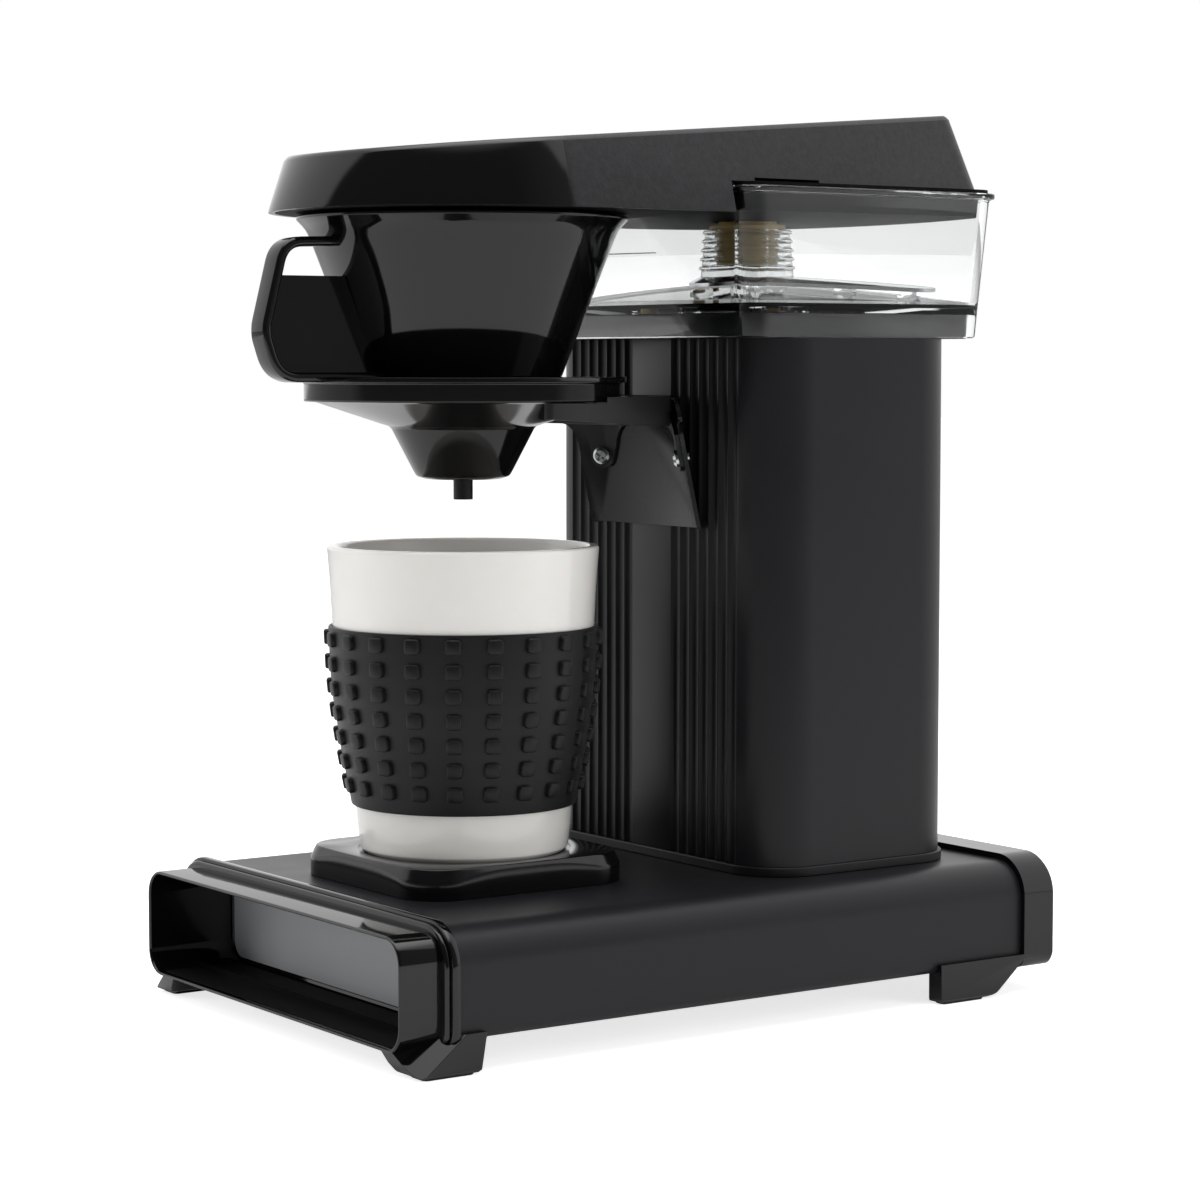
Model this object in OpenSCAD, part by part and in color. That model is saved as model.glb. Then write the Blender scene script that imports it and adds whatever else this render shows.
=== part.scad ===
// Single-cup pour-over coffee maker with a glass-clear tank on a fluted column.
// Millimetres, +Z up, the front faces -Y, X is the width.
// Origin: middle of the footprint, on the surface that the feet stand on.

/* [Base] */
// Width of the base extrusion
base_w = 160; // [145:1:175]
// Length of the base extrusion in front of the column
base_fore = 124.5; // [118:0.5:132]
// Length of the base extrusion behind the column
base_aft = 9.5; // [8:0.1:14]
// Height of the base extrusion
base_h = 32.2; // [29:0.2:36]
// Gap between the extrusion and the surface it stands over
base_clear = 9.8; // [8.6:0.1:12]
// Corner radius of the base extrusion
base_r = 11; // [8:0.5:12]
// Corner radius of the base extrusion along its lower edges
base_low_r = 2.8; // [2:0.1:5]
// Wall of the base extrusion
base_wall = 2.4; // [2:0.1:3]
// Thickness of the sheet that closes the underside
plate_t = 1.6; // [1.2:0.1:2.2]
// Length of the front cap beyond the extrusion
front_cap_len = 17.8; // [15:0.1:22]
// Length of the rear cap beyond the extrusion
rear_cap_len = 13.2; // [11:0.1:18]
// How far the cap collars stand proud of the extrusion
collar_proud = 1.9; // [1.2:0.1:2.6]
// Depth of the open recess in the front cap
recess_depth = 30; // [20:1:40]
// Height of the rubber pads under the feet
pad_h = 0.7; // [0.5:0.1:1.2]

/* [Cup stand] */
// Side of the rounded square cup stand
stand_w = 77.6; // [74:0.2:82]
// Height of the cup stand
stand_h = 9.4; // [7:0.1:11]
// Corner radius of the cup stand
stand_r = 14; // [12:1:18]
// Depth of the dish that the mug stands in
dish_d = 0.55; // [0.5:0.05:0.8]
// Height of the stand's bevel at the middle of a side
stand_bevel = 1.4; // [1:0.1:2]

/* [Mug] */
// Distance of the brewing axis in front of the column
axis_fwd = 71.7; // [69:0.1:74]
// Height of the mug
mug_h = 94.8; // [90:0.1:97]
// Outer radius of the mug's rim
mug_r = 42.2; // [40:0.1:43.4]
// Radius of the mug's foot
mug_foot_r = 32.4; // [31:0.1:33.4]
// Wall of the mug
mug_wall = 3.4; // [3:0.1:4.5]
// Thickness of the silicone sleeve
sleeve_t = 1.1; // [0.9:0.1:1.5]

/* [Column] */
// Width of the column
col_w = 123; // [118:1:126]
// Depth of the column, front to back
col_d = 79; // [76:1:82]
// Height of the column
col_h = 164.5; // [160:0.5:171]
// Corner radius of the column
col_r = 18; // [14:0.5:18]
// Wall of the column
col_wall = 2.2; // [1.8:0.1:3]
// Height of the black plinth under the column
plinth_h = 3; // [2:0.5:4]
// Spacing of the flutes
flute_pitch = 5.04; // [4.6:0.02:5.1]
// Radius of one flute
flute_r = 2.6; // [2.3:0.1:2.8]
// Depth of one flute
flute_depth = 1.2; // [0.8:0.1:1.3]
// Distance of the first flute from the middle of the face
flute_first = 12.9; // [11.5:0.1:13.2]

/* [Basket] */
// Outer radius of the cone under its rim
cone_top_r = 46.6; // [44:0.2:47.4]
// Outer radius of the cone at the collar
cone_low_r = 30.6; // [28:0.2:32]
// Radius of the cone's flared rim
cone_rim_r = 51; // [49:0.2:52]
// Gap between the cone's rim and the lid above it
cone_gap = 1; // [0.8:0.1:3]
// Wall of the basket
basket_wall = 2; // [1.6:0.1:2.4]
// Radius of the round collar
collar_r = 49; // [48:0.2:50]
// Drop of the collar's underside below the top of the column
collar_drop = 19.5; // [18.5:0.1:20.5]
// Height of the collar
collar_h = 7.6; // [6:0.1:9]
// Outer radius of the top of the lower funnel
funnel_r = 23; // [20:0.2:25]
// Outer radius of the bottom of the lower funnel
funnel_low_r = 15.6; // [13:0.2:17]
// Depth of the basket below the collar, without the nozzle
funnel_h = 24; // [20:0.2:26]
// Outer radius of the drip nozzle
nozzle_r = 3; // [2.6:0.1:4]
// Length of the drip nozzle below the funnel
nozzle_h = 6.3; // [4:0.1:7]
// Width of the handle strap
strap_w = 8.6; // [7:0.2:12]
// Thickness of the handle strap
strap_t = 3; // [2.4:0.1:4]
// Reach of the handle in front of the brewing axis
handle_reach = 72; // [68:0.1:72.4]

/* [Tank] */
// How far the tank's rim stands out at each side of the column
tank_side = 1.5; // [0.5:0.1:4.5]
// How far the tank's rim stands out in front of the column
tank_over = 9.3; // [7:0.1:11]
// How far the tank's rim stands out behind the column
tank_behind = 13.2; // [11:0.1:14]
// Height of the tank
tank_h = 46; // [43:0.5:48]
// How far each wall leans in towards the bottom
tank_lean = 3.2; // [2.6:0.1:3.2]
// Wall of the tank
tank_wall = 2.4; // [2:0.1:2.4]
// Height of the tank floor above its bottom edge
floor_up = 7.8; // [7:0.1:9]
// Thickness of the tank floor
floor_t = 2.2; // [1.8:0.1:3]
// Distance of the guide tower's axis behind the column's front face
tower_in = 38.7; // [37:0.1:41]
// Radius of the guide tower at its foot
tower_r = 14.5; // [13.5:0.1:15.5]

/* [Lid] */
// Inset of the lid's sides from the tank's rim
lid_side = 2.6; // [2:0.1:5]
// Drop of the lid's lower front edge below the tank's rim
lid_drop = 8.2; // [7:0.1:9]
// Height of the lid at its front
lid_front_h = 16.4; // [14:0.2:20]
// Slope of the lid's top
lid_slope = 0.08; // [0.05:0.005:0.1]
// Lean of the lid's sides
lid_lean = 0.287; // [0.2:0.005:0.3]
// Wall of the lid
lid_wall = 2.2; // [1.8:0.1:3]

/* [Switch] */
// Height of the switch above the base
switch_up = 34; // [28:1:60]
// Width of the rocker
rocker_w = 10.6; // [9:0.2:12]
// Length of the rocker
rocker_len = 23.2; // [20:0.2:26]
// Tilt of the rocker at rest
rocker_tilt = 8; // [6:0.5:10]

/* [Fits] */
// Gap round parts that lift or slide
loose = 0.4; // [0.3:0.05:0.6]
// Radial gap of running pins
run_gap = 0.05; // [0.03:0.01:0.08]
// Gap of plugged and screwed parts
fit_gap = 0.15; // [0.1:0.05:0.25]

/* [Hidden] */
$fn = 64;
eps = 0.01;
base_top = base_clear + base_h;
base_len = base_fore + col_d + base_aft;
half_len = (base_len + front_cap_len + rear_cap_len) / 2;
front_y = -half_len;
ext_y0 = front_y + front_cap_len;
ext_y1 = ext_y0 + base_len;
rear_y = ext_y1 + rear_cap_len;

// front cap: a thin-walled frame in front of a beaded collar
frame_w = base_w - 4.6;
frame_h = base_h + 1.2;
frame_z = base_clear - 2.6;
frame_t = 1.1;
frame_r = 8;
collar_len = 2.7;
bead_len = 1.8;
bead_proud = 0.9;
foot_bottom = pad_h;
foot_in = 20;
foot_len = 40;
toe_tilt = 49;
toe_turn = -43.6;
foot_x = base_w / 2 + collar_proud;

col_z = base_top + plinth_h;
col_y = ext_y0 + base_fore;
col_y1 = col_y + col_d;
col_top = col_z + col_h;
col_mid = (col_y + col_y1) / 2;
flute_n = 7;

axis_y = col_y - axis_fwd;
stand_z = base_top + stand_h;
mug_z = stand_z - dish_d + 0.05;
sleeve_gap = 0.2;

tank_z = col_top + 0.2;
rim_z = tank_z + tank_h;
floor_z = tank_z + floor_up;
floor_top = floor_z + floor_t;
tank_half = col_w / 2 + tank_side;
tank_front = col_y - tank_over;
tank_back = col_y1 + tank_behind;
tower_back = col_y + tower_in;
tank_r = 8;
plate_z = floor_top + 3.4;
deflector_h = 3.2;
deflector_t = 1.4;
tower_z = plate_z + deflector_h;
tower_gap = 2.2;
tower_top_r = tower_r - 1.5;
bellows_r = 9.2;
outlet_r = 4.2;
riser_r = 5;

lid_z = rim_z - lid_drop;
lid_r = tank_half - lid_side;
lid_y = axis_y + 1.1;
lid_rear = tank_back - 2.9;
lid_split = tank_front - 2.4;
lid_seat = rim_z + 1.3;
tower_h = lid_z - tower_gap - tower_z;

collar_z = col_top - collar_drop;
cone_z = collar_z + collar_h;
cone_h = lid_z - cone_gap - cone_z;
funnel_z = collar_z - funnel_h;
nozzle_z = funnel_z - nozzle_h;

// height of the lid's top plane at a distance y behind the middle
function lid_top(y) = lid_z + lid_front_h + lid_slope * (y - (lid_y - lid_r * 0.92));
// half width of the lid at height z
function lid_half(z) = lid_r - lid_lean * (z - lid_z);
// half width and ends of the tank wall at height z, moved in by i
function tank_in(z) = tank_lean * (rim_z - z) / tank_h;

boiler_x = 22;
boiler_r = 8;
boiler_y = col_mid;
boiler_up = 45;
boiler_drop = 46;
boiler_z0 = col_z + boiler_up;
boiler_z1 = col_top - boiler_drop;
stub_h = 8;
stub_r = 4;
water_r = 2.6;
saddle_t = 2;
saddle_up = 30;
saddle_h = 46;
saddle_out = 8;
saddle_foot = 12;
saddle_hole = 8;
stat_r = 7.4;
stat_up = 50;
fuse_len = 16;
fuse_up = 42;
fuse_lead = 6;
valve_r = 6.5;
valve_h = 22;
hose_r = 5.5;
hose_lead = 6;
block_w = 32;
block_d = 12;
block_h = 11;
block_in = 24;
wire_pitch = 10;
screw_head_r = 3;
screw_head_h = 1.6;

bracket_z0 = collar_z - 40;
bracket_z1 = collar_z + 1.5;
bracket_t = 1.3;
bracket_half0 = 26.8;
bracket_half1 = 12;
bracket_y = col_y - 0.15;
bend_lean = atan((bracket_half0 - bracket_half1) / (bracket_z1 - bracket_z0));
bend_len = norm([bracket_half0 - bracket_half1, bracket_z1 - bracket_z0]);
wing_turn = 35;
wing_w = 28.8;
arm_gap = 0.3;
arm_r0 = collar_r - 2.2;
arm_r1 = collar_r + 1.6;
arm_h = 5.4;
screw_v = 22.4;
screw_u = 4.2;
ear_t = 1.3;
skirt_t = 1.1;
skirt_z = collar_z - 7.7;

// distance of the bend line from the middle at height z
function bend_x(z) = bracket_half0 - (z - bracket_z0) * tan(bend_lean);
// plan position on a wing's inner face at the top, u along it and g clear of it
function wing_edge(u, g) = [bracket_half1 + u * cos(wing_turn) - (bracket_t + g) * sin(wing_turn),
    bracket_y - u * sin(wing_turn) - (bracket_t + g) * cos(wing_turn)];

switch_z = base_top + switch_up;
switch_y = col_mid;
switch_x = -col_w / 2;
frame_wall = 1.6;
bezel_t = 1.5;
rocker_gap = 0.3;
pin_r = 1;
pin_len = 1.2;
rocker_proud = 3.2;
rocker_back = 4;

rod_x = col_w / 2 - 14;
rod_y0 = col_y + 14;
rod_y1 = col_y1 - 14;
rod_r = 2;

gland_z = base_clear + base_h / 2;
gland_x = 48;
gland_r = 7;
gland_bore = 3.6;
gland_len = 6;
gland_pocket = 7;

// ---------- shared shapes ----------

// rounded rectangle, centred
module rrect(w, h, r) {
    square([w - 2 * r, h], center = true);
    square([w, h - 2 * r], center = true);
    for (sx = [-1, 1], sy = [-1, 1])
        translate([sx * (w / 2 - r), sy * (h / 2 - r)]) circle(r);
}

// rounded bar along Y, from y0 to y1, with its lower face at z0
module bar_y(w, h, r, z0, y0, y1) {
    translate([0, y1, z0 + h / 2]) rotate([90, 0, 0])
        linear_extrude(y1 - y0) rrect(w, h, r);
}

// section of the base extrusion, moved out by d: wide radii above, tight ones below
module base_outline(d) {
    w = base_w + 2 * d;
    h = base_h + 2 * d;
    r = base_r + d;
    q = max(base_low_r + d, 0.6);
    square([w - 2 * r, h], center = true);
    translate([-w / 2, -h / 2 + q]) square([w, h - q - r]);
    translate([-w / 2 + q, -h / 2]) square([w - 2 * q, h / 2]);
    for (sx = [-1, 1]) {
        translate([sx * (w / 2 - r), h / 2 - r]) circle(r);
        translate([sx * (w / 2 - q), -h / 2 + q]) circle(q);
    }
}

// bar along Y with the base's section moved out by d, from y0 to y1
module base_bar(d, y0, y1) {
    translate([0, y1, base_clear + base_h / 2]) rotate([90, 0, 0])
        linear_extrude(y1 - y0) base_outline(d);
}

// upright rounded block between y0 and y1
module block_z(w, y0, y1, r, z0, z1) {
    translate([0, (y0 + y1) / 2, z0]) linear_extrude(z1 - z0) rrect(w, y1 - y0, r);
}

// tube or rod between two points
module rod(p, q, r) {
    v = q - p;
    translate(p) rotate([0, acos(v[2] / norm(v)), atan2(v[1], v[0])]) cylinder(h = norm(v), r = r);
}

// copies at both sides of the middle plane
module both() {
    children();
    mirror([1, 0, 0]) children();
}

// ---------- base ----------

module base_section() {
    difference() {
        base_outline(0);
        base_outline(-base_wall);
        translate([0, -base_h / 2]) square([base_w - 44, 3 * base_wall], center = true);
    }
}

plate_w = base_w - 26;
rear_plate_w = base_w - 41;
rear_plate_len = 57;
plate_screw_x = plate_w / 2 - 5;
plate_screw_y = [ext_y0 + 34, -10, ext_y1 - 52];
plate_screw_r = 1.6;

module base_housing() {
    color("#2b2b2d") difference() {
        translate([0, ext_y1, base_clear + base_h / 2]) rotate([90, 0, 0])
            linear_extrude(base_len) base_section();
        bar_y(frame_w + 2 * fit_gap, frame_h + 2 * fit_gap, frame_r + fit_gap, frame_z - fit_gap,
            ext_y0 - 1, front_y + recess_depth + frame_t + fit_gap);
        translate([0, boiler_y, base_top - base_wall - 1]) cylinder(h = base_wall + 2, r = 22);
        for (sx = [-1, 1], y = [rod_y0, rod_y1])
            translate([sx * rod_x, y, base_top - base_wall - 1]) cylinder(h = base_wall + 2, r = rod_r + fit_gap);
        for (sx = [-1, 1], y = plate_screw_y)
            translate([sx * plate_screw_x, y, base_clear - 1]) cylinder(h = base_wall + 2, r = plate_screw_r + fit_gap);
    }
}

module base_plate() {
    color("#1c1c1e") difference() {
        union() {
            block_z(plate_w, front_y + recess_depth + 6, ext_y1 - 40, 4, base_clear - plate_t, base_clear);
            // beside the rear feet only the opening is covered
            block_z(rear_plate_w, ext_y1 - 3 - rear_plate_len, ext_y1 - 3, 4, base_clear - plate_t, base_clear);
        }
        for (sx = [-1, 1], y = plate_screw_y)
            translate([sx * plate_screw_x, y, base_clear - plate_t - 1]) cylinder(h = plate_t + 2, r = plate_screw_r + fit_gap);
    }
}

module base_plate_screws() {
    color("#8d8f92") for (sx = [-1, 1], y = plate_screw_y)
        translate([sx * plate_screw_x, y, base_clear - plate_t]) {
            translate([0, 0, -screw_head_h]) difference() {
                cylinder(h = screw_head_h, r = screw_head_r);
                for (a = [0, 90]) rotate([0, 0, a]) translate([-1.9, -0.35, -0.01]) cube([3.8, 0.7, 0.9]);
            }
            cylinder(h = plate_t + base_wall + 2, r = plate_screw_r);
        }
}

// side view of the front foot, front to back against height
module front_foot_side() {
    polygon([[front_y + 1.5, frame_z + 0.6], [front_y + 2.6, 3.6], [front_y + 3.8, 1.4], [front_y + 5.6, foot_bottom],
        [ext_y0 + 6.2, foot_bottom], [ext_y0 + 7, 1.6], [ext_y0 + 8.9, base_clear + 3], [front_y + 1.5, base_clear + 3]]);
}

// side view of the rear foot
module rear_foot_side() {
    polygon([[ext_y1 + 3, base_clear + 3], [ext_y1, base_clear + 1.4], [ext_y1 - 11.2, foot_bottom + 1.2],
        [ext_y1 - 13, foot_bottom + 0.3], [ext_y1 - 15.4, foot_bottom], [ext_y1 - 34, foot_bottom],
        [ext_y1 - 34.6, foot_bottom + 1], [ext_y1 - 34.8, base_clear + 3]]);
}

// plan of the rear foot: a narrow front that widens behind it
module rear_foot_plan() {
    y0 = ext_y1 - 36;
    y1 = ext_y1 - 34.8;
    polygon([[foot_x + 1, y0], [foot_x - 6, y0], [foot_x - 6, y1], [foot_x - 17, y1 + 13], [foot_x - foot_len, y1 + 13],
        [foot_x - foot_len, ext_y1 + 5], [foot_x + 1, ext_y1 + 5]]);
}

// front view of a foot: upright outside, swept inside
module foot_front() {
    polygon([[foot_x, base_clear + 3], [foot_x, foot_bottom + 0.8], [foot_x - 0.8, foot_bottom],
        [foot_x - foot_in + 9.6, foot_bottom], [foot_x - foot_in + 7, foot_bottom + 1],
        [foot_x - foot_in + 4.4, foot_bottom + 3.6], [foot_x - foot_in + 1, frame_z + 1], [foot_x - foot_in - 2, base_clear + 3]]);
}

module foot_blank(y0, y1) {
    translate([0, y1, 0]) rotate([90, 0, 0]) linear_extrude(y1 - y0) foot_front();
}

module front_cap() {
    color("#141416") difference() {
        union() {
            bar_y(frame_w, frame_h, frame_r, frame_z, front_y, front_y + recess_depth + frame_t);
            base_bar(collar_proud, ext_y0 - collar_len, ext_y0);
            base_bar(bead_proud, ext_y0 - collar_len - bead_len, ext_y0 - collar_len + eps);
            both() difference() {
                intersection() {
                    foot_blank(front_y, ext_y0 + 10);
                    translate([foot_x - foot_len, 0, 0]) rotate([90, 0, 90]) linear_extrude(foot_len) front_foot_side();
                }
                // sloping facet that turns the outer front corner into a toe
                translate([foot_x, ext_y0 - 0.8, base_clear + 0.2]) rotate([0, toe_tilt, toe_turn])
                    translate([-40, -40, 0]) cube([80, 80, 40]);
            }
        }
        bar_y(frame_w - 2 * frame_t, frame_h - 2 * frame_t, frame_r - frame_t, frame_z + frame_t,
            front_y - 1, front_y + recess_depth);
        // the extrusion's own section is left free behind the collar
        difference() {
            base_bar(fit_gap, ext_y0, ext_y0 + foot_len);
            bar_y(frame_w, frame_h, frame_r, frame_z, front_y, ext_y0 + foot_len + 1);
        }
    }
}

module rear_cap() {
    color("#141416") difference() {
        union() {
            difference() {
                union() {
                    base_bar(collar_proud, ext_y1, rear_y - 1.2);
                    base_bar(collar_proud - 1, rear_y - 1.5, rear_y);
                }
                base_bar(collar_proud - 2.5, ext_y1 + 2, rear_y - 2.4);
                base_bar(-6, ext_y1 - 1, ext_y1 + 3);
            }
            translate([gland_x, rear_y, gland_z]) rotate([90, 0, 0]) cylinder(h = gland_pocket + 2, r = gland_r + 5);
            both() intersection() {
                foot_blank(ext_y1 - foot_len, ext_y1 + 3);
                translate([foot_x - foot_len, 0, 0]) rotate([90, 0, 90]) linear_extrude(foot_len) rear_foot_side();
                translate([0, 0, -1]) linear_extrude(30) rear_foot_plan();
            }
        }
        translate([gland_x, rear_y + 1, gland_z]) rotate([90, 0, 0]) cylinder(h = gland_pocket + 1, r = gland_r + 3);
        translate([gland_x, rear_y + 1, gland_z]) rotate([90, 0, 0]) cylinder(h = 30, r = gland_r - 1.5);
        base_bar(fit_gap, ext_y1 - 60, ext_y1);
    }
}

pad_x = foot_x - 5.7;
front_pad_y = ext_y0 - 5.1;
rear_pad_y = ext_y1 - 24.4;

module foot_pads() {
    color("#1a1a1a") for (sx = [-1, 1]) {
        translate([sx * pad_x, front_pad_y, 0]) linear_extrude(foot_bottom) rrect(8.4, 20, 1.5);
        translate([sx * (foot_x - 3.4), rear_pad_y, 0]) linear_extrude(foot_bottom) rrect(4.6, 17, 1.5);
    }
}

// ---------- cup stand and mug ----------

module cup_stand() {
    slope = 0.376;
    color("#101012") translate([0, axis_y, base_top]) difference() {
        // the cone cuts the sides in arcs, high at the middle and low at the corners
        intersection() {
            linear_extrude(stand_h) rrect(stand_w, stand_w, stand_r);
            cylinder(h = stand_h, r1 = stand_w / 2 + (stand_h - stand_bevel) / slope, r2 = stand_w / 2 - stand_bevel / slope, $fn = 128);
        }
        translate([0, 0, stand_h - dish_d]) cylinder(h = dish_d + 1, r = mug_foot_r + 0.7);
        translate([0, 0, -1]) linear_extrude(4) rrect(stand_w - 5, stand_w - 5, stand_r - 2.5);
        translate([0, 0, 2.9]) cylinder(h = stand_h - dish_d - 5.1, r = stand_w / 2 - 5);
    }
}

// height in the mug of a point that stands at h in a mug 94.8 high
function up(h) = h * mug_h / 94.8;
// stretch of the mug's outline that the sleeve grips, moved out by d
function grip_line(d) = [for (p = [[mug_foot_r + 1.3, 14.6], [mug_foot_r + 1.9, 18], [mug_foot_r + 4.7, 32.8],
    [mug_foot_r + 5.7, 40], [mug_foot_r + 6.9, 47.6], [mug_r - 2.1, 57], [mug_r - 1.6, 70]]) [p[0] + d, up(p[1])]];
function reversed(list) = [for (i = [len(list) - 1 : -1 : 0]) list[i]];

module mug() {
    outside = concat([[mug_foot_r - 1.2, 0], [mug_foot_r, 1.2], [mug_foot_r + 0.9, 9]], grip_line(0),
        [[mug_r - 1, up(82)], [mug_r, mug_h - 1.2], [mug_r - 0.7, mug_h - 0.3], [mug_r - 1.6, mug_h]]);
    inside = [[mug_r - 2.7, mug_h - 0.4], [mug_r - mug_wall, mug_h - 2], [mug_r - mug_wall - 1.5, up(68)],
        [mug_foot_r + 3.5, up(47.6)], [mug_foot_r + 1.3, up(32.8)], [mug_foot_r - 1.6, up(17)], [mug_foot_r - 4, up(9)],
        [mug_foot_r - 9, 6.4], [0, 5.4]];
    color("#f2f0ec") translate([0, axis_y, mug_z]) rotate_extrude($fn = 96)
        polygon(concat(outside, inside, [[0, 2], [mug_foot_r - 4.4, 2], [mug_foot_r - 4, 0]]));
}

module mug_sleeve() {
    color("#1b1b1c") translate([0, axis_y, mug_z]) rotate_extrude($fn = 96)
        polygon(concat(grip_line(sleeve_gap), reversed(grip_line(sleeve_gap + sleeve_t))));
}

// ---------- column ----------

module column_plinth() {
    color("#0e0e0f") difference() {
        block_z(col_w + 1.6, col_y - 0.8, col_y1 + 0.8, col_r, base_top, col_z);
        block_z(col_w - 10, col_y + 5, col_y1 - 5, col_r - 5, base_top - 1, col_z + 1);
        for (sx = [-1, 1], y = [rod_y0, rod_y1])
            translate([sx * rod_x, y, base_top - 1]) cylinder(h = plinth_h + 2, r = rod_r + fit_gap);
    }
}

module column_section() {
    translate([0, col_mid]) difference() {
        rrect(col_w, col_d, col_r);
        rrect(col_w - 2 * col_wall, col_d - 2 * col_wall, col_r - col_wall);
        for (s = [-1, 1], i = [0 : flute_n - 1])
            translate([s * (flute_first + i * flute_pitch), -col_d / 2 + flute_depth - flute_r]) circle(flute_r);
    }
}

module column_housing() {
    color("#2b2b2d") difference() {
        translate([0, 0, col_z]) linear_extrude(col_h) column_section();
        translate([switch_x - 1, switch_y, switch_z]) rotate([0, 90, 0]) linear_extrude(col_wall + 3)
            square([rocker_len + 2 * rocker_gap + 2 * frame_wall + 2 * fit_gap, rocker_w + 2 * rocker_gap + 2 * frame_wall + 2 * fit_gap], center = true);
    }
}

cover_gap = 0.5;
cover_in = tank_wall + cover_gap;

module column_top_cover() {
    w = 2 * (tank_half - tank_in(tank_z) - cover_in);
    y0 = tank_front + tank_in(tank_z) + cover_in;
    y1 = tank_back - tank_in(tank_z) - cover_in;
    color("#0f0f10") difference() {
        union() {
            block_z(w, y0, y1, tank_r - 3, col_top, floor_z);
            block_z(col_w - 2 * col_wall - 2 * fit_gap, col_y + col_wall + fit_gap, col_y1 - col_wall - fit_gap,
                col_r - col_wall - fit_gap, col_top - 8, col_top);
        }
        block_z(col_w - 2 * col_wall - 6, col_y + col_wall + 3, col_y1 - col_wall - 3, col_r - col_wall - 3, col_top - 9, floor_z - 2.4);
        translate([0, tower_back, col_top - 10]) cylinder(h = 30, r = riser_r + fit_gap);
        translate([-boiler_x, boiler_y, col_top - 10]) cylinder(h = 30, r = hose_r + 1);
        for (sx = [-1, 1], y = [rod_y0, rod_y1])
            translate([sx * rod_x, y, col_top - 10]) cylinder(h = 30, r = rod_r + fit_gap);
    }
}

module tie_rods() {
    color("#9a9c9f") for (sx = [-1, 1], y = [rod_y0, rod_y1]) {
        translate([sx * rod_x, y, base_top - base_wall - 4]) cylinder(h = floor_z - base_top + base_wall + 3.6, r = rod_r);
        translate([sx * rod_x, y, base_top - base_wall - 3.2]) cylinder(h = 3.2, r = 3.8, $fn = 6);
    }
}

// ---------- inside the column ----------

module boiler_tube() {
    color("#b9bcc0") difference() {
        union() {
            for (sx = [-1, 1])
                translate([sx * boiler_x, boiler_y, boiler_z0 + boiler_x]) cylinder(h = boiler_z1 - boiler_z0 - boiler_x, r = boiler_r);
            translate([0, boiler_y, boiler_z0 + boiler_x]) rotate([-90, 0, 0]) rotate_extrude(angle = 180)
                translate([boiler_x, 0]) circle(boiler_r);
            for (sx = [-1, 1])
                translate([sx * boiler_x, boiler_y, boiler_z1]) cylinder(h = stub_h, r = stub_r);
        }
        for (sx = [-1, 1])
            translate([sx * boiler_x, boiler_y, boiler_z1 - 20]) cylinder(h = 20 + stub_h + 1, r = water_r);
    }
}

module boiler_bracket() {
    t = saddle_t;
    y = boiler_y + boiler_r;
    z = boiler_z0 + saddle_up;
    x = boiler_x + saddle_out;
    color("#a7a9ac") difference() {
        union() {
            translate([-x - t, y, z]) cube([2 * x + 2 * t, t, saddle_h]);
            both() translate([x, y, z]) cube([t, col_y1 - col_wall - y, saddle_h]);
            both() translate([x, col_y1 - col_wall - t, z]) cube([saddle_foot, t, saddle_h]);
        }
        for (sx = [-1, 1], h = [saddle_hole, saddle_h - saddle_hole])
            translate([sx * (x + saddle_hole), col_y1, z + h]) rotate([90, 0, 0]) cylinder(h = 10, r = 2);
    }
}

module thermostat() {
    color("#c9b27a") translate([boiler_x + boiler_r, boiler_y, boiler_z0 + stat_up]) rotate([0, 90, 0]) {
        cylinder(h = 2, r = stat_r);
        translate([0, 0, 2]) cylinder(h = 6, r = stat_r - 1.2);
        for (s = [-1, 1]) translate([s * 4 - 0.4, -3, 8]) cube([0.8, 6, 6]);
    }
}

module thermal_fuse() {
    color("#d8d4cb") {
        translate([-boiler_x - boiler_r - 3, boiler_y, boiler_z0 + fuse_up]) cylinder(h = fuse_len, r = 3);
        translate([-boiler_x - boiler_r - 3, boiler_y, boiler_z0 + fuse_up - fuse_lead])
            cylinder(h = fuse_len + 2 * fuse_lead, r = 0.6);
    }
}

valve_z = boiler_z1 + stub_h;

module check_valve() {
    color("#e9e7e2") translate([-boiler_x, boiler_y, valve_z]) difference() {
        union() {
            cylinder(h = valve_h, r = valve_r);
            translate([0, 0, valve_h / 2 - 1.5]) cylinder(h = 3, r = valve_r + 1.5);
        }
        translate([0, 0, -1]) cylinder(h = valve_h + 2, r = water_r);
    }
}

module inlet_hose() {
    color("#d9cbb0") translate([-boiler_x, boiler_y, valve_z + valve_h]) difference() {
        cylinder(h = floor_z - valve_z - valve_h - 2.6, r = hose_r);
        translate([0, 0, -1]) cylinder(h = 80, r = hose_r - 2);
    }
}

riser_z0 = col_top - 6;

module riser_hose() {
    p = [boiler_x, boiler_y, valve_z];
    q = [boiler_x, boiler_y, valve_z + hose_lead];
    s = [0, tower_back, riser_z0 - hose_lead];
    e = [0, tower_back, riser_z0];
    color("#d9cbb0") {
        rod(p, q, hose_r);
        translate(q) sphere(hose_r);
        rod(q, s, hose_r);
        translate(s) sphere(hose_r);
        rod(s, e, hose_r);
    }
}

module terminal_block() {
    color("#e6e2d8") translate([30, col_y1 - block_in, base_top]) difference() {
        translate([-block_w / 2, -block_d / 2, 0]) cube([block_w, block_d, block_h]);
        for (i = [-1, 0, 1]) translate([i * wire_pitch, 0, 4]) cylinder(h = block_h, r = 2.4);
        for (i = [-1, 0, 1]) translate([i * wire_pitch, block_d, 4.5]) rotate([90, 0, 0]) cylinder(h = 2 * block_d, r = 1.6);
    }
}

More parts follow.
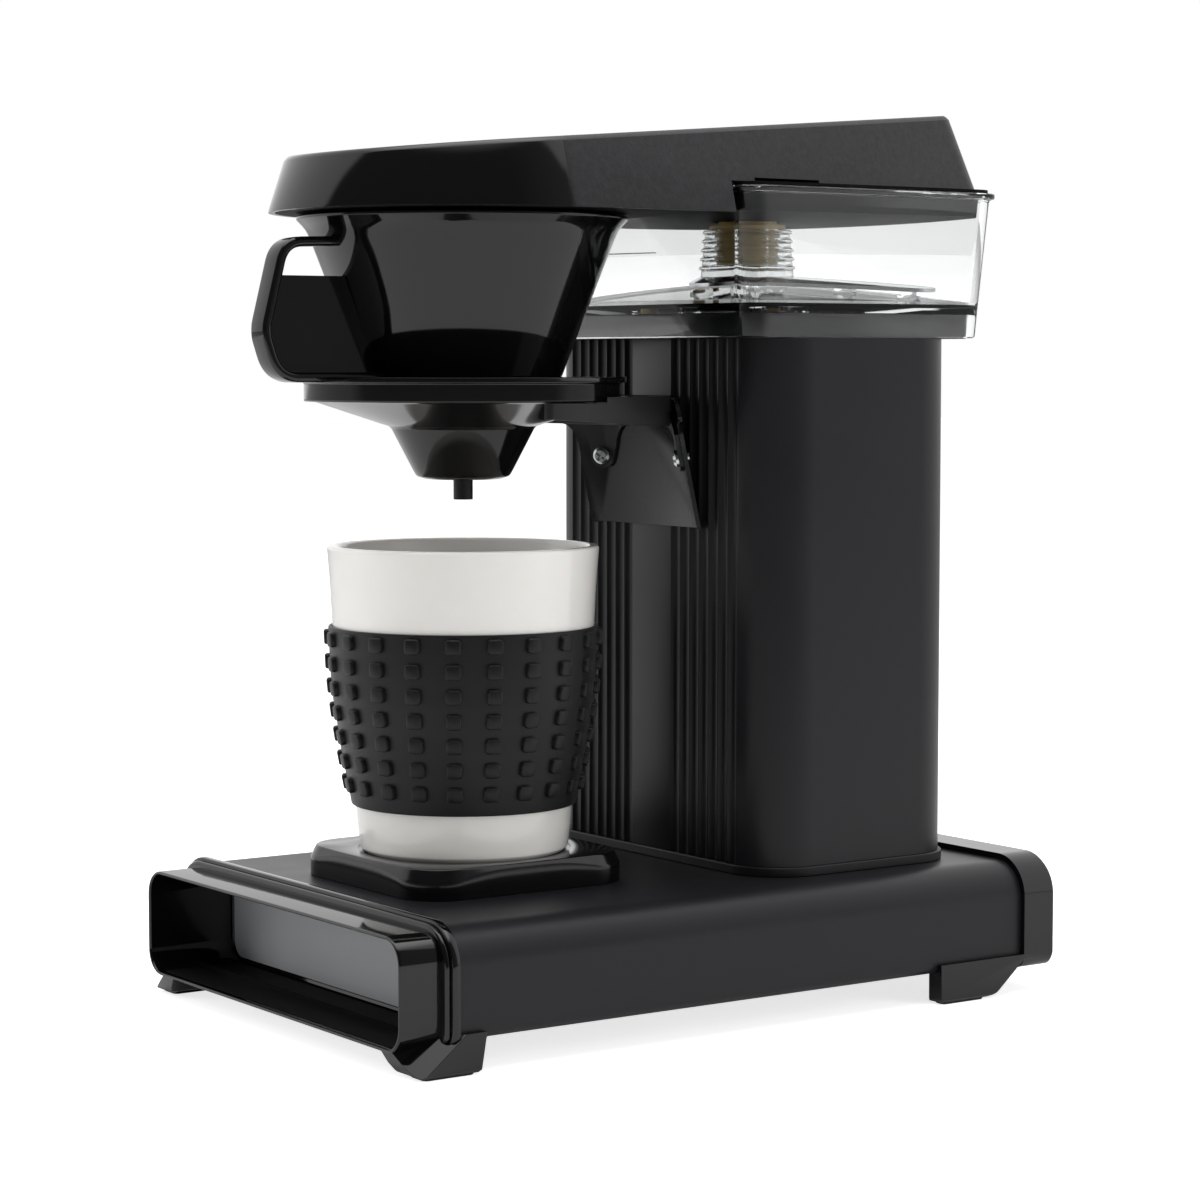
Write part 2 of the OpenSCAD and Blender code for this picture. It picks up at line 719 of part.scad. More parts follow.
module cord_gland() {
    color("#161617") translate([gland_x, rear_y - 0.6, gland_z]) rotate([90, 0, 0]) difference() {
        union() {
            cylinder(h = gland_len + 0.4, r1 = gland_r - 1, r2 = gland_r + 0.6);
            cylinder(h = 14, r = gland_r - 1.7);
        }
        translate([0, 0, -1]) cylinder(h = 20, r = gland_bore);
    }
}

// ---------- switch ----------

cav_len = rocker_len + 2 * rocker_gap;
cav_w = rocker_w + 2 * rocker_gap;

// the switch is drawn with its outward direction along +Z, then laid into the column's side
module switch_place() {
    translate([switch_x, switch_y, switch_z]) rotate([0, -90, 0]) children();
}

module switch_frame() {
    color("#131314") switch_place() difference() {
        union() {
            linear_extrude(bezel_t) rrect(cav_len + 8, cav_w + 7, 2.5);
            translate([0, 0, -18]) linear_extrude(18 + eps)
                square([cav_len + 2 * frame_wall, cav_w + 2 * frame_wall], center = true);
            for (s = [-1, 1]) translate([s * 6 - 0.4, -2.4, -25]) cube([0.8, 4.8, 8]);
        }
        translate([0, 0, -7]) linear_extrude(12) square([cav_len, cav_w], center = true);
        translate([0, -cav_w / 2 - frame_wall - 1, -0.5]) rotate([-90, 0, 0])
            cylinder(h = cav_w + 2 * frame_wall + 2, r = pin_r + run_gap);
    }
}

module switch_rocker() {
    h = rocker_len / 2;
    color("#1d1d1f") switch_place() translate([0, 0, -0.5]) rotate([0, rocker_tilt, 0]) {
        translate([0, rocker_w / 2, 0]) rotate([90, 0, 0]) linear_extrude(rocker_w)
            polygon([[2.4 - h, -rocker_back], [h - 2.4, -rocker_back], [h - 0.3, rocker_proud], [h / 2, 2.1], [0, 1.7],
                [-h / 2, 2.1], [0.3 - h, rocker_proud]]);
        translate([0, -rocker_w / 2 - pin_len - rocker_gap, 0]) rotate([-90, 0, 0])
            cylinder(h = rocker_w + 2 * pin_len + 2 * rocker_gap, r = pin_r);
    }
}

// ---------- tank ----------

// leaning rounded box following the tank's walls, moved in by i, from z0 to z1
module tank_block(i, z0, z1) {
    hull() for (z = [z0, z1 - eps]) {
        d = i + tank_in(z);
        r = tank_r - i * 0.8;
        for (sx = [-1, 1], y = [tank_front + d + r, tank_back - d - r])
            translate([sx * (tank_half - d - r), y, z]) cylinder(h = eps, r = r, $fn = 32);
    }
}

module tank() {
    color([0.85, 0.9, 0.92, 0.35]) difference() {
        union() {
            tank_block(0, tank_z, rim_z);
            block_z(2 * tank_half + 3, tank_front - 1.5, tank_back + 1.5, tank_r + 1.5, rim_z - 1.8, rim_z);
        }
        tank_block(tank_wall, floor_top, rim_z + 1);
        tank_block(tank_wall, tank_z - 1, floor_z);
        translate([0, tower_back, floor_z - 1]) cylinder(h = floor_t + 2, r = riser_r + fit_gap);
        translate([-boiler_x, boiler_y, floor_z - 1]) cylinder(h = floor_t + 2, r = 4);
    }
}

module tank_outlet_seal() {
    color("#c9a06a") translate([-boiler_x, boiler_y, floor_z - 2.4]) difference() {
        union() {
            cylinder(h = 2.4, r = hose_r + 0.8);
            cylinder(h = 2.4 + floor_t + 0.8, r = 4 - fit_gap);
        }
        translate([0, 0, -1]) cylinder(h = 10, r = 2.4);
    }
}

deflector_x = tank_half - 28;
deflector_back = tank_back - 15.2;

// shallow dome of the deflector, moved in by d: a flat rim that rises to a round seat
module deflector_dome(d) {
    hull() {
        translate([0, 0, -d]) linear_extrude(deflector_t) hull() {
            translate([0, tower_back - 1]) circle(17.5 - d, $fn = 48);
            for (sx = [-1, 1]) translate([sx * deflector_x, deflector_back - 1]) circle(9.5 - d, $fn = 32);
        }
        translate([0, tower_back, 0]) cylinder(h = deflector_h - d, r = 15, $fn = 48);
    }
}

module deflector_plate() {
    color("#d7dadd") translate([0, 0, plate_z]) difference() {
        deflector_dome(0);
        deflector_dome(1.2);
        translate([0, tower_back, -1]) cylinder(h = deflector_h + 2, r = riser_r + fit_gap);
        translate([-boiler_x, boiler_y + 4, -1]) cylinder(h = deflector_h + 2, r = 3);
    }
}

deflector_post = [[-12, tower_back - 9], [12, tower_back - 9], [-deflector_x, deflector_back], [deflector_x, deflector_back], [0, deflector_back + 2]];

module deflector_posts() {
    color([0.85, 0.9, 0.92, 0.35]) for (p = deflector_post)
        translate([p[0], p[1], floor_top]) {
            cylinder(h = plate_z - floor_top, r = 2.6);
            cylinder(h = 1.4, r = 3.8);
        }
}

module guide_tower() {
    color([0.85, 0.9, 0.92, 0.35]) translate([0, tower_back, tower_z]) difference() {
        union() {
            cylinder(h = tower_h, r1 = tower_r, r2 = tower_top_r);
            for (i = [0 : 4]) {
                z = 3 + i * (tower_h - 4.6) / 4;
                translate([0, 0, z]) cylinder(h = 1.4, r = tower_r + 0.7 - z * 1.5 / tower_h);
            }
        }
        translate([0, 0, -1]) cylinder(h = tower_h + 2, r1 = tower_r - 2.2, r2 = tower_top_r - 2.2);
    }
}

bellows_z = tower_z + 4;
bellows_collar = tower_z + tower_h;

module tower_bellows() {
    color("#c9a873") translate([0, tower_back, 0]) difference() {
        union() {
            translate([0, 0, bellows_z]) cylinder(h = bellows_collar - bellows_z, r = bellows_r);
            for (i = [0 : 2])
                translate([0, 0, bellows_z + 2 + i * (tower_h - 9.8) / 2]) cylinder(h = 1.8, r = bellows_r + 0.7);
            translate([0, 0, bellows_collar]) cylinder(h = 2, r = tower_top_r - 1.4);
            translate([0, 0, bellows_collar + 2 - eps]) cylinder(h = 4.4, r1 = bellows_r, r2 = bellows_r - 1.4);
        }
        translate([0, 0, bellows_z - 1]) cylinder(h = 40, r = outlet_r + loose);
        translate([0, 0, bellows_z - 1]) cylinder(h = 4, r = riser_r + fit_gap);
    }
}

module riser_tube() {
    color([0.85, 0.9, 0.92, 0.35]) translate([0, tower_back, riser_z0]) difference() {
        cylinder(h = bellows_z + 3 - riser_z0, r = riser_r);
        translate([0, 0, -1]) cylinder(h = bellows_z + 5 - riser_z0, r = riser_r - 1.4);
    }
}

// ---------- lid ----------

// the lid's outer body, moved in by i, with its lower face at z0
module lid_block(i, z0, top_in) {
    r1 = lid_half(z0) - i;
    zt = lid_top(lid_y);
    rt = lid_half(zt) - i + 0.5;
    rc = 6 - i * 0.6;
    rear0 = lid_rear + 0.22 * (lid_seat - z0) - i;
    ztr = lid_top(lid_rear - 5);
    rear1 = lid_rear - 0.22 * (ztr - lid_seat) - i;
    rim = 0.6;
    hull() {
        translate([0, lid_y, z0]) cylinder(h = rim, r = r1, $fn = 72);
        for (sx = [-1, 1])
            translate([sx * (r1 - rc), rear0 - rc, z0]) cylinder(h = rim, r = rc, $fn = 24);
        translate([0, lid_y - 0.9, zt - top_in - 2]) rotate([atan(lid_slope), 0, 0]) {
            cylinder(h = rim, r = rt, $fn = 72);
            translate([0, 0, 2 - rim]) cylinder(h = rim, r1 = rt - 0.7, r2 = rt - 1.5, $fn = 72);
        }
        for (sx = [-1, 1])
            translate([sx * (lid_half(ztr) - i - rc), rear1 - rc, ztr - top_in - 2]) rotate([atan(lid_slope), 0, 0]) {
                cylinder(h = rim, r = rc, $fn = 24);
                translate([0, 0, 2 - rim]) cylinder(h = rim, r1 = rc - 0.7, r2 = rc - 1.5, $fn = 24);
            }
    }
}

module lid_cover() {
    color("#151517") difference() {
        lid_block(0, lid_z, 0);
        lid_block(lid_wall, lid_z - 0.5, lid_wall);
        translate([-100, lid_split, lid_z - 5]) cube([200, 200, lid_seat - lid_z + 5]);
        translate([-100, lid_split + 9, lid_seat - 1]) cube([200, 25, 1 + 1.1]);
    }
}

pan_t = 2;
head_r = 12.4;
plug_in = 1.4;
plug_z = lid_z + 1;

module lid_pan() {
    w = lid_half(lid_seat) - lid_wall - fit_gap;
    drop_y = lid_split - 0.4 - pan_t;
    color("#101011") difference() {
        union() {
            // pan under the front of the lid, and the step up to the tank's rim
            intersection() {
                lid_block(lid_wall + fit_gap, lid_z, 5);
                translate([-100, -200, lid_z]) cube([200, 200 + drop_y + pan_t, pan_t]);
            }
            translate([-w, drop_y, lid_z]) cube([2 * w, pan_t, lid_seat - lid_z]);
            translate([-w, drop_y, rim_z + 0.2]) cube([2 * w, 6, lid_seat - rim_z - 0.2]);
            // flange on the rim, and the tray that hangs inside the tank
            block_z(2 * tank_half - 1, tank_front + 0.5, tank_back - 0.5, tank_r, rim_z + 0.2, lid_seat - 0.05);
            tank_block(tank_wall + plug_in, plug_z, rim_z + 0.3);
        }
        tank_block(tank_wall + plug_in + 2.2, plug_z + pan_t, lid_seat + 1);
        translate([0, tower_back, plug_z - 1]) cylinder(h = 30, r = bellows_r + loose + 0.6);
        translate([0, axis_y, lid_z - 1]) cylinder(h = 10, r = head_r + 0.6);
    }
}

channel_z = lid_seat + 2;
channel_h = 5;

module outlet_tube() {
    color("#6f7376") difference() {
        union() {
            translate([0, tower_back, bellows_z + 5]) cylinder(h = channel_z + channel_h - bellows_z - 5, r = outlet_r);
            translate([-6, axis_y, channel_z]) cube([12, tower_back - axis_y, channel_h]);
            for (y = [axis_y, tower_back]) translate([0, y, channel_z]) cylinder(h = channel_h, r = 9);
        }
        translate([0, tower_back, bellows_z - 1]) cylinder(h = channel_z + channel_h - bellows_z - 1, r = outlet_r - 1.4);
        translate([-4.4, axis_y, channel_z + 1.2]) cube([8.8, tower_back - axis_y, channel_h - 2.4]);
        translate([0, axis_y, channel_z - 1]) cylinder(h = channel_h - 1, r = 4);
    }
}

module drip_head() {
    color("#101011") translate([0, axis_y, lid_z - 0.4]) difference() {
        union() {
            translate([0, 0, 0.4 + pan_t + 0.1]) cylinder(h = 1.6, r = head_r + 3.1);
            cylinder(h = channel_z - lid_z + 0.4, r = head_r);
        }
        translate([0, 0, 2]) cylinder(h = 40, r = head_r - 1.6);
        for (a = [0 : 45 : 315]) rotate([0, 0, a]) translate([7, 0, -1]) cylinder(h = 5, r = 1.2);
        translate([0, 0, -1]) cylinder(h = 5, r = 1.2);
    }
}

// ---------- basket ----------

module basket_cone() {
    flare = cone_h - 7.5;
    color("#121213") translate([0, axis_y, cone_z]) difference() {
        rotate_extrude($fn = 96) polygon([[0, 0], [cone_low_r, 0], [cone_top_r, flare], [cone_top_r + 1.6, flare + 3.6],
            [cone_rim_r, cone_h - 1], [cone_rim_r, cone_h], [cone_rim_r - basket_wall, cone_h],
            [cone_top_r - basket_wall, flare], [cone_low_r - basket_wall, 3], [0, 3]]);
        for (a = [0 : 60 : 300]) rotate([0, 0, a]) translate([12, 0, -1]) cylinder(h = 5, r = 2);
        translate([0, 0, -1]) cylinder(h = 5, r = 4);
    }
}

lip_h = 1.8;
lip_proud = 1.6;

module basket_collar() {
    color("#121213") translate([0, axis_y, 0]) rotate_extrude($fn = 96) polygon([
        [collar_r + lip_proud, cone_z - lip_h], [collar_r + lip_proud, cone_z], [cone_low_r - 6, cone_z],
        [cone_low_r - 6, cone_z - 3], [collar_r - 6, cone_z - 3], [collar_r - 8, collar_z + 2],
        [funnel_r - 2, collar_z - 5], [funnel_low_r - 2, funnel_z + 3.4], [funnel_low_r - 6, funnel_z + 2],
        [nozzle_r + fit_gap, funnel_z + 2], [nozzle_r + fit_gap, funnel_z], [funnel_low_r - 4, funnel_z],
        [funnel_low_r - 1.2, funnel_z + 0.9], [funnel_low_r, funnel_z + 3], [funnel_r - 0.9, collar_z - 8.4],
        [funnel_r, collar_z - 7.6], [collar_r - 4.4, collar_z - 0.4], [collar_r - 3, collar_z], [collar_r, collar_z],
        [collar_r, cone_z - lip_h]]);
}

module drip_nozzle() {
    color("#0c0c0d") translate([0, axis_y, 0]) difference() {
        union() {
            translate([0, 0, nozzle_z]) cylinder(h = nozzle_h + 2, r = nozzle_r);
            translate([0, 0, funnel_z + 2]) cylinder(h = 1.2, r = nozzle_r + 2);
        }
        translate([0, 0, nozzle_z - 1]) cylinder(h = nozzle_h + 6, r = nozzle_r - 1.2);
    }
}

// outline of the handle strap, distance in front of the axis against height over the collar
module strap_outer() {
    h = cone_h;
    polygon([[30, -1.2], [handle_reach - 12, -1.2], [handle_reach - 5.4, 1.4], [handle_reach - 1.8, 6.0],
        [handle_reach, 11.6], [handle_reach - 0.6, 16], [handle_reach - 5.8, h - 13.6], [handle_reach - 7.4, h - 9.8],
        [handle_reach - 10.4, h - 8.2], [handle_reach - 14, h - 7.8], [30, h - 5.8]]);
}

module strap_inner() {
    h = cone_h;
    t = strap_t;
    polygon([[20, 1], [handle_reach - 12.4, 1], [handle_reach - 7.4, 3], [handle_reach - 4.6, 6.8],
        [handle_reach - t, 11.6], [handle_reach - t - 0.6, 15], [handle_reach - t - 5.6, h - 14],
        [handle_reach - 9.8, h - 11.4], [handle_reach - 13, h - 10.4], [20, h - 10]]);
}

module basket_handle() {
    color("#161618") translate([0, axis_y, cone_z]) difference() {
        union() {
            translate([strap_w / 2, 0, 0]) rotate([90, 0, -90]) linear_extrude(strap_w) difference() {
                strap_outer();
                strap_inner();
            }
            translate([1.3, 0, 0]) rotate([90, 0, -90]) linear_extrude(2.6) intersection() {
                strap_outer();
                translate([0, -5]) square([100, cone_h - 11.5]);
            }
        }
        translate([0, 0, -5]) cylinder(h = 5 + eps, r = collar_r + lip_proud);
        rotate_extrude($fn = 96) polygon([[0, -eps], [cone_low_r + 0.05, -eps], [cone_top_r + 0.05, cone_h - 7.5],
            [cone_top_r + 1.65, cone_h - 3.9], [cone_rim_r + 0.05, cone_h - 1], [cone_rim_r + 0.05, cone_h + 1], [0, cone_h + 1]]);
    }
}

// ---------- bracket ----------

// local frame of one wing: X across the sheet, Z along the slanted bend
module wing_place() {
    translate([bracket_half0, bracket_y, bracket_z0]) rotate([0, -bend_lean, 0]) rotate([0, 0, -wing_turn]) children();
}

module wing_shape() {
    n = bend_len;
    polygon([[-0.2, -0.2], [3.4, -1], [9.4, 13], [13.2, 23], [15.4, 26.6], [18.4, 28.2], [23, 28.6], [27.4, 27.8],
        [wing_w, 29], [wing_w - 0.2, n - 10.8], [wing_w - 1.2, n - 9.4], [-0.2, n - 0.4]]);
}

module basket_bracket() {
    color("#232325") difference() {
        union() {
            translate([0, bracket_y, 0]) rotate([90, 0, 0]) linear_extrude(bracket_t)
                polygon([[-bracket_half0, bracket_z0], [bracket_half0, bracket_z0], [bracket_half1, bracket_z1], [-bracket_half1, bracket_z1]]);
            both() wing_place() rotate([90, 0, 0]) linear_extrude(bracket_t) wing_shape();
        }
        both() wing_place() translate([screw_u, 1, screw_v]) rotate([90, 0, 0]) cylinder(h = 10, r = 1.5 + fit_gap);
    }
}

carrier_z = collar_z - arm_h - 0.3;

// plan of the fork that carries the basket, its rear tucked between the wings
module carrier_plan() {
    p = wing_edge(0.6, fit_gap);
    q = wing_edge(wing_w + 0.2, fit_gap);
    reach = norm([q[0], q[1] - axis_y]);
    turn = atan2(q[1] - axis_y, q[0]) - acos(arm_r1 / reach);
    difference() {
        union() {
            polygon([[-p[0], p[1]], p, q, [arm_r1 * cos(turn), axis_y + arm_r1 * sin(turn)], [0, axis_y],
                [-arm_r1 * cos(turn), axis_y + arm_r1 * sin(turn)], [-q[0], q[1]]]);
            intersection() {
                translate([0, axis_y]) circle(arm_r1);
                translate([-100, axis_y]) square([200, 100]);
            }
            both() translate([(arm_r0 + arm_r1) / 2, axis_y]) circle((arm_r1 - arm_r0) / 2);
        }
        translate([0, axis_y]) circle(arm_r0);
        translate([-arm_r0, axis_y - 20]) square([2 * arm_r0, 20]);
    }
}

// rear skirt of the fork: an arch between two legs that follow the bend lines
module carrier_skirt() {
    z0 = bracket_z0 + 19;
    z1 = skirt_z - 7;
    difference() {
        polygon([[-bend_x(z0) + 0.6, z0], [bend_x(z0) - 0.6, z0], [bend_x(skirt_z + 4) - 0.6, skirt_z + 4],
            [-bend_x(skirt_z + 4) + 0.6, skirt_z + 4]]);
        polygon([[-bend_x(z0) + 1.7, z0 - eps], [bend_x(z0) - 1.7, z0 - eps], [bend_x(z1) - 1.7, z1], [-bend_x(z1) + 1.7, z1]]);
        both() translate([bend_x(z1) - 8.7, z1]) circle(7);
        translate([-bend_x(z1) + 8.7, z1 - eps]) square([2 * bend_x(z1) - 17.4, 7 + eps]);
    }
}

module basket_carrier() {
    color("#151517") difference() {
        union() {
            translate([0, 0, carrier_z - 2]) linear_extrude(bracket_z1 - carrier_z + 2) carrier_plan();
            translate([0, bracket_y - bracket_t - 0.1, 0]) rotate([90, 0, 0]) linear_extrude(skirt_t) carrier_skirt();
            both() wing_place() translate([0, -bracket_t - 0.06, 0]) rotate([90, 0, 0]) linear_extrude(ear_t)
                polygon([[0.5, 20.6], [1.2, 19.2], [2.6, 18.4], [5.4, 18.2], [7.2, 19.4], [8.2, 22], [9.6, 25.4], [12, 28], [8, 37], [0.5, 38]]);
        }
        // seat of the collar, and the rising underside
        translate([0, axis_y, collar_z - arm_gap]) cylinder(h = 20, r = collar_r + lip_proud + loose);
        translate([-80, bracket_y - 12, carrier_z - 3.4]) rotate([-3.2, 0, 0]) translate([0, -120, -20]) cube([160, 120, 20.8]);
        both() wing_place() translate([screw_u, 1, screw_v]) rotate([90, 0, 0]) cylinder(h = 10, r = 1.5 + fit_gap);
    }
}

screw_seat = bracket_t + ear_t + 0.06;

module bracket_screws() {
    color("#c8cbce") both() wing_place() translate([screw_u, 0, screw_v]) rotate([90, 0, 0]) difference() {
        union() {
            translate([0, 0, -0.8]) cylinder(h = screw_seat + 1, r = 1.5);
            translate([0, 0, screw_seat]) cylinder(h = 0.9, r = 2.8);
            translate([0, 0, screw_seat + 0.9 - eps]) cylinder(h = 0.8, r1 = 2.8, r2 = 1.9);
        }
        for (a = [20, 110]) rotate([0, 0, a]) translate([-1.7, -0.35, screw_seat + 0.8]) cube([3.4, 0.7, 2]);
    }
}

base_housing();
base_plate();
base_plate_screws();
front_cap();
rear_cap();
foot_pads();
cup_stand();
column_plinth();
column_housing();
column_top_cover();
tie_rods();
boiler_tube();
boiler_bracket();
thermostat();
thermal_fuse();
check_valve();
inlet_hose();
riser_hose();
terminal_block();
cord_gland();
switch_frame();
switch_rocker();
tank();
tank_outlet_seal();
deflector_plate();
deflector_posts();
guide_tower();
tower_bellows();
riser_tube();
lid_cover();
lid_pan();
outlet_tube();
drip_head();
basket_cone();
basket_collar();
basket_handle();
drip_nozzle();
basket_bracket();
basket_carrier();
bracket_screws();
mug();
mug_sleeve();
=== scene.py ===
# %% [markdown]
# # A single-cup drip coffee maker
# Cold water stands in a clear tank on top of a fluted column. A heater in the column drives it up
# through a riser, along a channel in the lid, and out over the paper filter in the brew basket.
# The coffee drips from the basket into a mug on the base. The solids with their real sizes come
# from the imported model. This lesson dresses them: camera, light, finishes and fine detail.

# %% Load the frame
import math

import bmesh
import bpy
from mathutils import Matrix, Vector


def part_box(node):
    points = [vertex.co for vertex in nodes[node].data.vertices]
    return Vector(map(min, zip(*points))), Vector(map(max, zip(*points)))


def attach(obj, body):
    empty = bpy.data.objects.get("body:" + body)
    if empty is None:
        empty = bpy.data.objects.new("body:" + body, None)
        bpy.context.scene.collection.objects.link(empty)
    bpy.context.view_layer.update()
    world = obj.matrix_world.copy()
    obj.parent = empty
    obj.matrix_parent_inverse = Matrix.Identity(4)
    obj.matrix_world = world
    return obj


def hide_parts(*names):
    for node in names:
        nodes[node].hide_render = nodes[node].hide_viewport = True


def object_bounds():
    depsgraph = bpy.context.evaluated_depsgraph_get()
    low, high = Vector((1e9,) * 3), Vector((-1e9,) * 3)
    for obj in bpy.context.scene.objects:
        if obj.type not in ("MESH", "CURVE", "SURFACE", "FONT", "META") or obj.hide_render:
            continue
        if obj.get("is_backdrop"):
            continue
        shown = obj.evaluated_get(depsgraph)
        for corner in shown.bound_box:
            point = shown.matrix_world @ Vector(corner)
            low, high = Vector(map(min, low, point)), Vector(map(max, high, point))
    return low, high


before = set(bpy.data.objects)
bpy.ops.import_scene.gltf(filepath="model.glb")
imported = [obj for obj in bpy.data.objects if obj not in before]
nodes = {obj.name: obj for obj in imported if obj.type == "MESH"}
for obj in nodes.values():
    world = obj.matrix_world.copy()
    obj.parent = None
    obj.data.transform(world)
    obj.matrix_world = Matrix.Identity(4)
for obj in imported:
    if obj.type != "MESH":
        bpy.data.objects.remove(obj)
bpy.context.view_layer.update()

scene = bpy.context.scene

# %% [markdown]
# ## Camera
# A product shot of a small appliance is taken from about a metre away with a long lens, a little
# above the mug, so that upright edges stay upright. The camera is placed first because every
# finish is judged through it. The turn is about Z, and the tilt is a few degrees down.

# %% Camera
camera_place = (0.8406, -0.5816, 0.2023)
tilt_down, turn_about_z = 4.255, 55.315
camera_data = bpy.data.cameras.new("studio_camera")
camera_data.lens = 96.24
camera_data.sensor_width = 36.0
camera_data.clip_start = 0.01
camera = bpy.data.objects.new("studio_camera", camera_data)
camera.location = camera_place
camera.rotation_euler = (math.radians(90 - tilt_down), 0.0, math.radians(turn_about_z))
scene.collection.objects.link(camera)
scene.camera = camera
scene.view_settings.view_transform = "Standard"
print("camera at", camera_place, "lens", camera_data.lens)

# %% [markdown]
# ## Small helpers for node trees
# Colours are written as the hex values a designer would pick on a screen, and one function turns
# them into the linear light that the renderer adds up. Another adds a node with its settings and
# links, so that each finish below reads as a short list. Two more start a material and turn a size
# in millimetres into a texture's scale. A Mix node has several inputs called A and B, a pair for
# each kind of data, so its colour sockets are named here by their numbers.

# %% Colour and node helpers
def linear(hex_code, alpha=1.0):
    """sRGB hex to a linear RGBA tuple."""
    parts = [int(hex_code[i:i + 2], 16) / 255 for i in (1, 3, 5)]
    return tuple(c / 12.92 if c <= 0.04045 else ((c + 0.055) / 1.055) ** 2.4 for c in parts) + (alpha,)


def add(tree, kind, inputs=None, **settings):
    """Adds a node; an input given as a socket is linked, any other value is set."""
    node = tree.nodes.new(kind)
    for key, value in settings.items():
        setattr(node, key, value)
    for key, value in (inputs or {}).items():
        if isinstance(value, bpy.types.NodeSocket):
            tree.links.new(value, node.inputs[key])
        else:
            node.inputs[key].default_value = value
    return node


def start_material(name, **values):
    """A material with one Principled shader; keyword names use _ for spaces."""
    material = bpy.data.materials.new(name)
    material.use_nodes = True
    tree = material.node_tree
    tree.nodes.clear()
    shader = add(tree, "ShaderNodeBsdfPrincipled", {key.replace("_", " "): v for key, v in values.items()})
    add(tree, "ShaderNodeOutputMaterial", {"Surface": shader.outputs["BSDF"]})
    return material, tree, shader


def per_mm(size):
    """Texture scale that makes one feature about size millimetres wide on Object coordinates."""
    return 1000.0 / size


colour_a, colour_b, colour_out = 6, 7, 2
print("black ABS in linear light:", [round(c, 4) for c in linear("#0b0b0c")])

# %% [markdown]
# ## Fine-grain coats
# The base and the column are extruded aluminium with a satin black coat. Such a coat has a grain
# of about a tenth of a millimetre, too fine to show, so it is drawn a little coarser as a faint
# bump. The roughness drifts slightly over a few centimetres, which keeps large faces from looking
# like a flat colour. The bracket is pressed steel under a thinner and glossier coat. The matt
# plastics, the rubbers and the bare metals come from the same helper, each with its own colour,
# roughness and grain.

# %% Fine-grain materials
drift_mm = 38.0


def grained(name, hex_code, rough, grain_mm, bump, drift=0.04, **values):
    """A coloured finish whose fine grain and slow drift come from two noises."""
    material, tree, shader = start_material(name, **values)
    place = add(tree, "ShaderNodeTexCoord").outputs["Object"]
    grain = add(tree, "ShaderNodeTexNoise", {"Vector": place, "Scale": per_mm(grain_mm), "Detail": 3.0})
    slow = add(tree, "ShaderNodeTexNoise", {"Vector": place, "Scale": per_mm(drift_mm), "Detail": 2.0})
    ramp = add(tree, "ShaderNodeMapRange", {
        "Value": slow.outputs["Fac"], "From Min": 0.3, "From Max": 0.7,
        "To Min": rough - drift, "To Max": rough + drift})
    tree.links.new(ramp.outputs["Result"], shader.inputs["Roughness"])
    base = linear(hex_code)
    deep = tuple(c * 0.88 for c in base[:3]) + (1.0,)
    tint = add(tree, "ShaderNodeMix", {"Factor": slow.outputs["Fac"], colour_a: deep, colour_b: base},
               data_type="RGBA")
    tree.links.new(tint.outputs[colour_out], shader.inputs["Base Color"])
    relief = add(tree, "ShaderNodeBump", {
        "Height": grain.outputs["Fac"], "Strength": bump, "Distance": grain_mm / 4000})
    tree.links.new(relief.outputs["Normal"], shader.inputs["Normal"])
    return material


print("roughness drifts over", drift_mm, "mm")

# %% Coats, plastics, rubbers and bare metals
# Satin coats spread a highlight wide; the thinner one on the steel keeps it narrower.
coated_aluminium = grained("satin_coated_aluminium", "#1d1d20", 0.36, 0.35, 0.25, Specular_IOR_Level=0.3)
coated_steel = grained("coated_pressed_steel", "#101012", 0.28, 0.4, 0.1, drift=0.02,
                       Specular_IOR_Level=0.3)
# Plastics from etched tools look flat and even, and the less they are etched the more they shine.
matte_plastic = grained("matte_moulded_plastic", "#0f0f10", 0.5, 0.3, 0.25)
grey_plastic = grained("grey_moulded_plastic", "#5b5f61", 0.42, 0.3, 0.15)
liner_grey = grained("grey_recess_liner", "#a4a6a8", 0.5, 0.3, 0.15)
satin_abs = grained("satin_moulded_abs", "#0c0c0d", 0.17, 0.5, 0.08, drift=0.03)
pan_plastic = grained("textured_pan_plastic", "#131314", 0.6, 0.6, 0.2, Specular_IOR_Level=0.05)
# Rubber and silicone hardly shine, and the sleeve has a faint bloom where it turns away.
rubber = grained("foot_rubber", "#1b1b1b", 0.75, 0.5, 0.3)
sleeve_silicone = grained("matte_silicone", "#0c0c0d", 0.46, 0.25, 0.2, Specular_IOR_Level=0.35,
                          Sheen_Weight=0.06, Sheen_Roughness=0.5)
# Bare metals: a frosted casting, bright zinc and warm brass.
cast_aluminium = grained("blasted_cast_aluminium", "#b9bbbd", 0.42, 0.4, 0.4, Metallic=1.0)
zinc_steel = grained("zinc_plated_steel", "#cfd2d5", 0.24, 0.6, 0.08, Metallic=1.0)
stamped_brass = grained("stamped_brass", "#c6a25a", 0.32, 0.5, 0.1, Metallic=1.0)
# Undyed nylon and silicone: pale, and light goes a little way into the silicones.
nylon = grained("natural_nylon", "#ddd8cb", 0.45, 0.4, 0.1)
hose_silicone = grained("hose_silicone", "#cfc1a2", 0.42, 0.4, 0.1, Subsurface_Weight=0.2,
                        Subsurface_Scale=0.002)
tan_silicone = grained("tan_silicone", "#dcc083", 0.42, 0.4, 0.1, Transmission_Weight=0.3)
print("grained materials:", len(bpy.data.materials))

# %% [markdown]
# ## Glossy black ABS
# The end caps and the basket are injection moulded in polished tools. Such a face is almost a
# mirror, but it is never perfectly flat: a swell of a few hundredths of a millimetre over some
# centimetres bends the reflections. A wide, very weak bump gives that swell. The lid is moulded
# in one tool too, but only its round front was polished, and its top and long sides were etched
# with a fine leather-like grain. One material holds both: Object Y and the face's direction
# choose between them.

